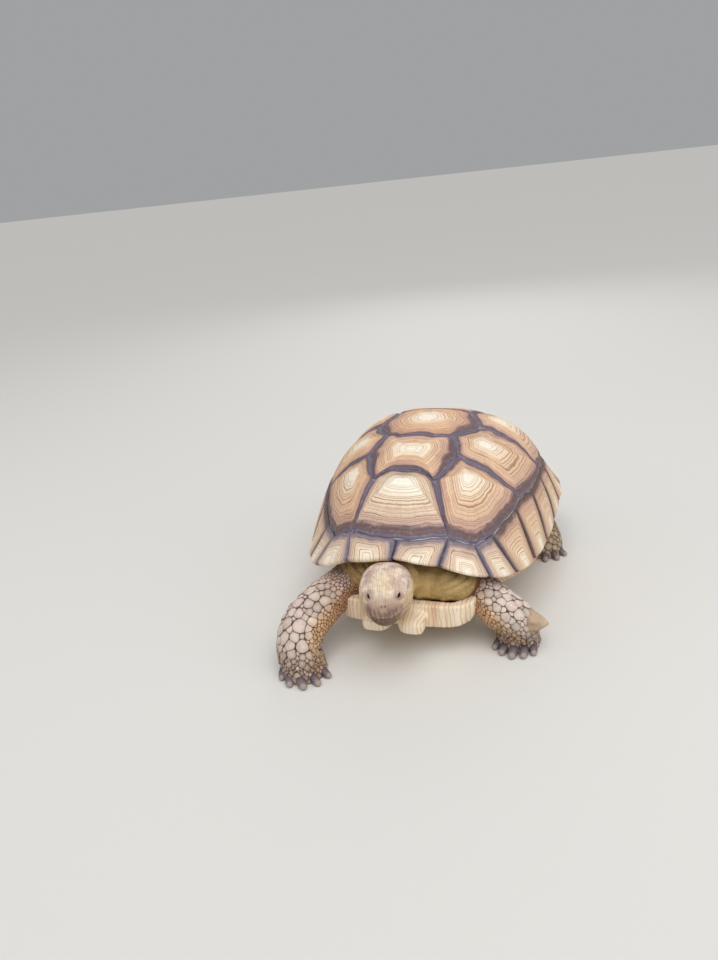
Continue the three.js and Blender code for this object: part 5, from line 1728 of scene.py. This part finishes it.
def scale_arrays(limb, seeds, reach, turns, shares, profile, hint, tones, tilt):
    """Points, faces and values of many scales at once: rings of the outline, shrunk by shares and lifted by
    profile, round a middle point, over a closed bottom."""
    t, phi, radius, to_chart = seeds
    height = np.minimum(0.8 * MM + 0.25 * radius, 2.9 * MM)
    outline = (CELL_STRETCH * reach - SCALE_GAP / 2) * (1 + SHINGLE * np.maximum(np.cos(turns), 0))
    share = np.array(shares)[None, :, None]
    x = outline[:, None, :] * share * np.cos(turns)
    y = outline[:, None, :] * share * np.sin(turns)
    lift = height[:, None, None] * (np.array(profile)[None, :, None] + tilt * share * np.cos(turns) * (
        np.array(profile)[None, :, None] > -0.3))
    steps = to_chart[:, None, None] @ np.stack((x, y), axis=-1)[..., None]
    ring_t = np.clip(t[:, None, None] + steps[..., 0, 0], 0, 1)
    ring_phi = phi[:, None, None] + steps[..., 1, 0]
    rings = limb_place(limb, ring_t, ring_phi, lift - SKIN_DEPTH, hint)
    top = limb_place(limb, t, phi, height * 1.03 - SKIN_DEPTH, hint)
    low = limb_place(limb, t, phi, np.full_like(t, -1.6 * MM - SKIN_DEPTH), hint)
    n, rows, around = x.shape
    points = np.concatenate((rings.reshape(n, -1, 3), top[:, None], low[:, None]), axis=1)
    points[..., 2] = np.maximum(points[..., 2], 0.6 * MM)
    per = rows * around + 2
    first = np.arange(around)
    quads = grid_quads(rows, around, True)
    ends = np.concatenate(fans(per - 2, first, per - 1, (rows - 1) * around + first))
    start = (np.arange(n) * per)[:, None, None]
    edge = np.concatenate((np.repeat(np.minimum(share[0, :, 0], 1), around), (0.0, 1.0)))
    patch = BAKE_PATCH / 2 * np.stack((np.concatenate(((share * np.cos(turns)).ravel(), (0, 0))),
                                       np.concatenate(((share * np.sin(turns)).ravel(), (0, 0)))), axis=-1)
    root = 0.02 + 0.96 * np.stack(((phi / TAU) % 1.0, t), axis=-1)
    uv = root[:, None] + patch[None]
    return (points.reshape(-1, 3), [(quads + start).reshape(-1, 4), (ends + start).reshape(-1, 3)],
            np.tile(edge, n), np.repeat(tones, per, axis=0), uv.reshape(-1, 2))


BIG_TURNS, SMALL_TURNS = np.linspace(0, TAU, 14, endpoint=False), np.linspace(0, TAU, 8, endpoint=False)
BIG_SHARES, BIG_PROFILE = (0.3, 0.58, 0.8, 0.93, 1.0, 1.0), (1.02, 1.0, 0.9, 0.66, 0.22, -0.7)
SMALL_SHARES, SMALL_PROFILE = (0.55, 0.88, 1.0), (0.92, 0.5, -0.6)
BIG_FROM = 4.2 * MM
SEED_POOL, SEED_TRIES = 14000, 9000     # places drawn on a limb, and how many are tried in a round


def scales_mesh(name, limb, size_of, tone_of, keep, seed, hint=FRONT_HINT, tilt=0.42):
    """All the scales of one limb as a joined mesh."""
    rng = np.random.default_rng(seed)
    t, phi = rng.uniform(0.02, 0.995, SEED_POOL), rng.uniform(0, TAU, SEED_POOL)
    points = limb_place(limb, t, phi, 0 * t, hint)
    normal = unit(points - (path_of(limb, t) + SHELL_SHIFT))
    wanted = keep(points - SHELL_SHIFT, t)
    t, phi, points, normal = t[wanted], phi[wanted], points[wanted], normal[wanted]
    wish = size_of(points - SHELL_SHIFT, normal, t) * rng.uniform(0.7, 1.15, len(t))
    index, radius = spread_seeds(points, wish, seed + 1, SEED_TRIES)
    t, phi, points, normal = t[index], phi[index], points[index], normal[index]
    down, round_it, to_chart = chart_steps(limb, t, phi, hint)
    tones = tone_of(points - SHELL_SHIFT, normal, t, radius, rng)
    big = radius > BIG_FROM
    parts, start = [], 0
    for chosen, turns, shares, profile in ((big, BIG_TURNS, BIG_SHARES, BIG_PROFILE),
                                           (~big, SMALL_TURNS, SMALL_SHARES, SMALL_PROFILE)):
        if not chosen.any():
            continue
        reach = cell_reach(points, down, round_it, radius, turns)[chosen]
        seeds = [values[chosen] for values in (t, phi, radius, to_chart)]
        made = scale_arrays(limb, seeds, reach, turns, shares, profile, hint, tones[chosen], tilt)
        parts.append((made[0], [group + start for group in made[1]], *made[2:]))
        start += len(made[0])
    points = joined(parts, 0)
    faces = [group for part in parts for group in part[1]]
    print(name, big.sum(), "large and", (~big).sum(), "small scales")
    return make_mesh(name, points, outward(points, faces),
                     {"edge": joined(parts, 2), "tone": joined(parts, 3)}, {"OFBake": joined(parts, 4)})


# %% Sizes and colours of the scales
FRONT_FACING = {"front_right": unit(np.array((-0.5, -0.45, 0.75))),
                "front_left": unit(np.array((0.86, -0.12, 0.5)))}
ARMOUR = {"front_right": (0.18, 8.6), "front_left": (0.12, 7.4)}   # where large scales start, and their size
CLAW_CLEARANCE = 7 * MM


def foreleg_size(facing, start, large):
    """Large on the front and outside from the place start along the leg, shrinking to beads on the upper arm,
    inside and near the foot."""
    def size(place, normal, t):
        off_floor = smoothstep(0.018, 0.034, place[:, 2])
        armour = (smoothstep(-0.05, 0.45, normal @ facing) * smoothstep(start - 0.04, start + 0.22, t)
                  * off_floor)
        inner = blend(1.7, 3.6, smoothstep(start, start + 0.35, t))
        wrist = 1 - smoothstep(0.034, 0.062, place[:, 2])
        foot = blend(2.6, 4.2, smoothstep(-0.2, 0.4, normal @ facing)) * (1 - off_floor)
        return MM * np.maximum(blend(inner, large * (1 - 0.36 * wrist), armour), foot)
    return size


def foreleg_tone(facing, start):
    """Grey beige on the outside, amber inside, rusty on the upper arm, and brown near the floor: partly the
    foot's darker skin, partly painted shade.
    """
    def tone(place, normal, t, radius, rng):
        outside = smoothstep(-0.15, 0.5, normal @ facing)
        shade = plain("dfb684", len(t))
        shade = paint(shade, "ddccbd", outside)
        shade = paint(shade, "d3bab4", outside * rng.random(len(t)) * 0.9)
        shade = paint(shade, "c0b0a2", outside * (rng.random(len(t)) > 0.7) * 0.8)
        shade = paint(shade, "c28a55", (1 - outside) * rng.random(len(t)) * 0.7)
        rusty = (1 - smoothstep(start, start + 0.26, t)) * (0.9 - 0.6 * outside)
        shade = paint(shade, "b27450", rusty)
        low = 1 - smoothstep(0.026, 0.058, place[:, 2])
        # Brown near the floor: partly the foot's darker skin, partly painted shade.
        shade = paint(shade, "755844", low * 0.78)
        shade = paint(shade, "b8a394", low * (rng.random(len(t)) > 0.72) * 0.7)
        shade[:, :3] *= rng.uniform(0.82, 1.12, (len(t), 1))
        return shade
    return tone


def hind_size(place, normal, t):
    """Small, with larger ones on the outside of the foot."""
    foot = smoothstep(0.07, 0.03, place[:, 2]) * smoothstep(-0.2, 0.5, -normal[:, 1])
    return MM * blend(3.0, 5.6, foot)


def hind_tone(place, normal, t, radius, rng):
    """Grey brown, lighter where they are large."""
    shade = plain("947b5c", len(t))
    shade = paint(shade, "b39f86", smoothstep(3 * MM, 5 * MM, radius))
    shade = paint(shade, "7a5f45", rng.random(len(t)) * 0.6)
    shade[:, :3] *= rng.uniform(0.82, 1.12, (len(t), 1))
    return shade


def tail_size(place, normal, t):
    """Small, and smaller towards the tip."""
    return np.full(len(t), 2.8 * MM) * (1 - 0.4 * t)


def clear_of_claws(leg):
    """A test that leaves out the inside of the shell and the roots of the claws."""
    roots = MM * (claw_roots(leg) + (0, 0, 5))

    def keep(place, t):
        distance = np.linalg.norm(place[:, None] - roots[None], axis=-1).min(axis=1)
        return (distance > CLAW_CLEARANCE) & (place[:, 2] > 4 * MM) & (t > 0.1)
    return keep


tree, shader, scale_paint = new_material("scale")
edge, tone_colour = attribute(tree, "edge"), attribute(tree, "tone", "Color")
cloud, fine_noise = noise(tree, 90.0, 5.0, 0.6), noise(tree, 420.0, 4.0, 0.6)
# Painted highlight: the middle of each scale, the top of its dome, is laid paler.
shade = mix(tree, remap(tree, edge, 0.0, 0.75, 0.28, 0.0), tone_colour, colour("efe2cf"))
shade = mix(tree, remap(tree, cloud, 0.42, 0.66, 0.0, 0.3), shade, colour("8a705c"))
# Painted shade: the rim of each scale, where it drops into the crevice between scales, is laid dark brown.
shade = mix(tree, remap(tree, edge, 0.78, 1.0, 0.0, 0.88), shade, colour("452f22"))
shade = mix(tree, remap(tree, fine_noise, 0.55, 0.75, 0.0, 0.3), shade, colour("e8dccb"))
tree.links.new(shade, shader.inputs["Base Color"])
tree.links.new(remap(tree, cloud, 0.3, 0.7, 0.5, 0.7), shader.inputs["Roughness"])
lines = calc(tree, "SINE", times(tree, edge, 28.0))
relief = plus(tree, fine_noise, times(tree, lines, 0.12))
tree.links.new(bump(tree, relief, 0.0005, 0.6), shader.inputs["Normal"])
for name, leg in LEGS.items():
    facing = FRONT_FACING.get(name)
    size_of, tone_of = hind_size, hind_tone
    if facing is not None:
        size_of, tone_of = foreleg_size(facing, *ARMOUR[name]), foreleg_tone(facing, ARMOUR[name][0])
    mesh = scales_mesh(f"scales_{name}", leg, size_of, tone_of, clear_of_claws(leg), 50 + len(name))
    add_piece(f"scales_{name}", mesh, scale_paint, "scale")
tail_scales = scales_mesh("scales_tail", TAIL, tail_size, hind_tone, lambda place, t: t > 0.1, 90,
                          hint=UP_HINT, tilt=0.3)
add_piece("scales_tail", tail_scales, scale_paint, "scale")

# %% [markdown]
# ## Spurs
# The species is named for its spurs: stout, pointed scales behind each thigh, and one at the elbow. Each is
# a cone that bends a little, from its root inside the leg to a blunt tip.

# %% Spurs
SPURS = {  # root, tip, radius at the root, in millimetres
    "front_left": [((175, -204, 44), (214, -210, 50), 26)],
    "rear_left": [((128, 152, 82), (134, 186, 74), 11), ((148, 140, 66), (160, 168, 56), 8)],
    "rear_right": [((-128, 192, 82), (-136, 226, 74), 11), ((-150, 208, 64), (-164, 236, 54), 8)],
}
SPUR_ROWS, SPUR_ROUND = 22, 20
SPUR_EDGE = 0.78               # the edge value at a root; a scale's dark border starts above it


def spur_arrays(root, tip, radius):
    """A cone whose radius falls from the root and closes in a rounded tip; fine rings run round it."""
    root, tip = np.array(root, float), np.array(tip, float)
    out = unit(tip - root)
    side = unit(np.cross((0.0, 0.0, 1.0), out))
    up = np.cross(out, side)
    t = np.sin(np.linspace(0, math.pi / 2, SPUR_ROWS))[:, None]
    turn = np.linspace(0, TAU, SPUR_ROUND, endpoint=False)
    size = radius * (1 - 0.8 * t) * np.sqrt(1 - t ** 6 * 0.98) * (1 + 0.02 * np.sin(t * 60))
    flute = 1 + 0.04 * np.sin(5 * turn + 2 * t)
    middle = root + (tip - root) * t - up * (2.5 * t * t)
    ring = side * (size * flute * np.cos(turn))[..., None] + up * (size * flute * np.sin(turn))[..., None]
    points, faces = tube(MM * (middle[:, None, :] + ring) + SHELL_SHIFT)
    edge = np.concatenate((np.repeat(SPUR_EDGE * (1 - t[:, 0]), SPUR_ROUND), (SPUR_EDGE, 0.0)))
    places = np.stack(np.broadcast_arrays(turn / TAU, t), axis=-1).reshape(-1, 2)
    places = np.concatenate((places, ((0, 0), (1, 1))))
    return points, outward(points, faces), edge, 0.5 + BAKE_PATCH * (places - 0.5)


spur_parts, start = [], 0
for values in (one for group in SPURS.values() for one in group):
    points, faces, edge_values, uv = spur_arrays(*values)
    spur_parts.append((points, [group + start for group in faces], edge_values, uv))
    start += len(points)
spur_points, spur_edge = joined(spur_parts, 0), joined(spur_parts, 2)
blotches = smoothstep(0.1, 0.6, spur_edge / SPUR_EDGE) * smoothstep(-0.7, 0.6, ripple(spur_points, 0.009, 9))
spur_tone = paint(plain("b3926f", start), "6f5239", blotches)
spur_mesh = make_mesh("spurs", spur_points, [group for part in spur_parts for group in part[1]],
                      {"edge": spur_edge, "tone": spur_tone}, {"OFBake": joined(spur_parts, 3)})
add_piece("spurs", spur_mesh, scale_paint, "scale")
print("spurs:", len(spur_parts))
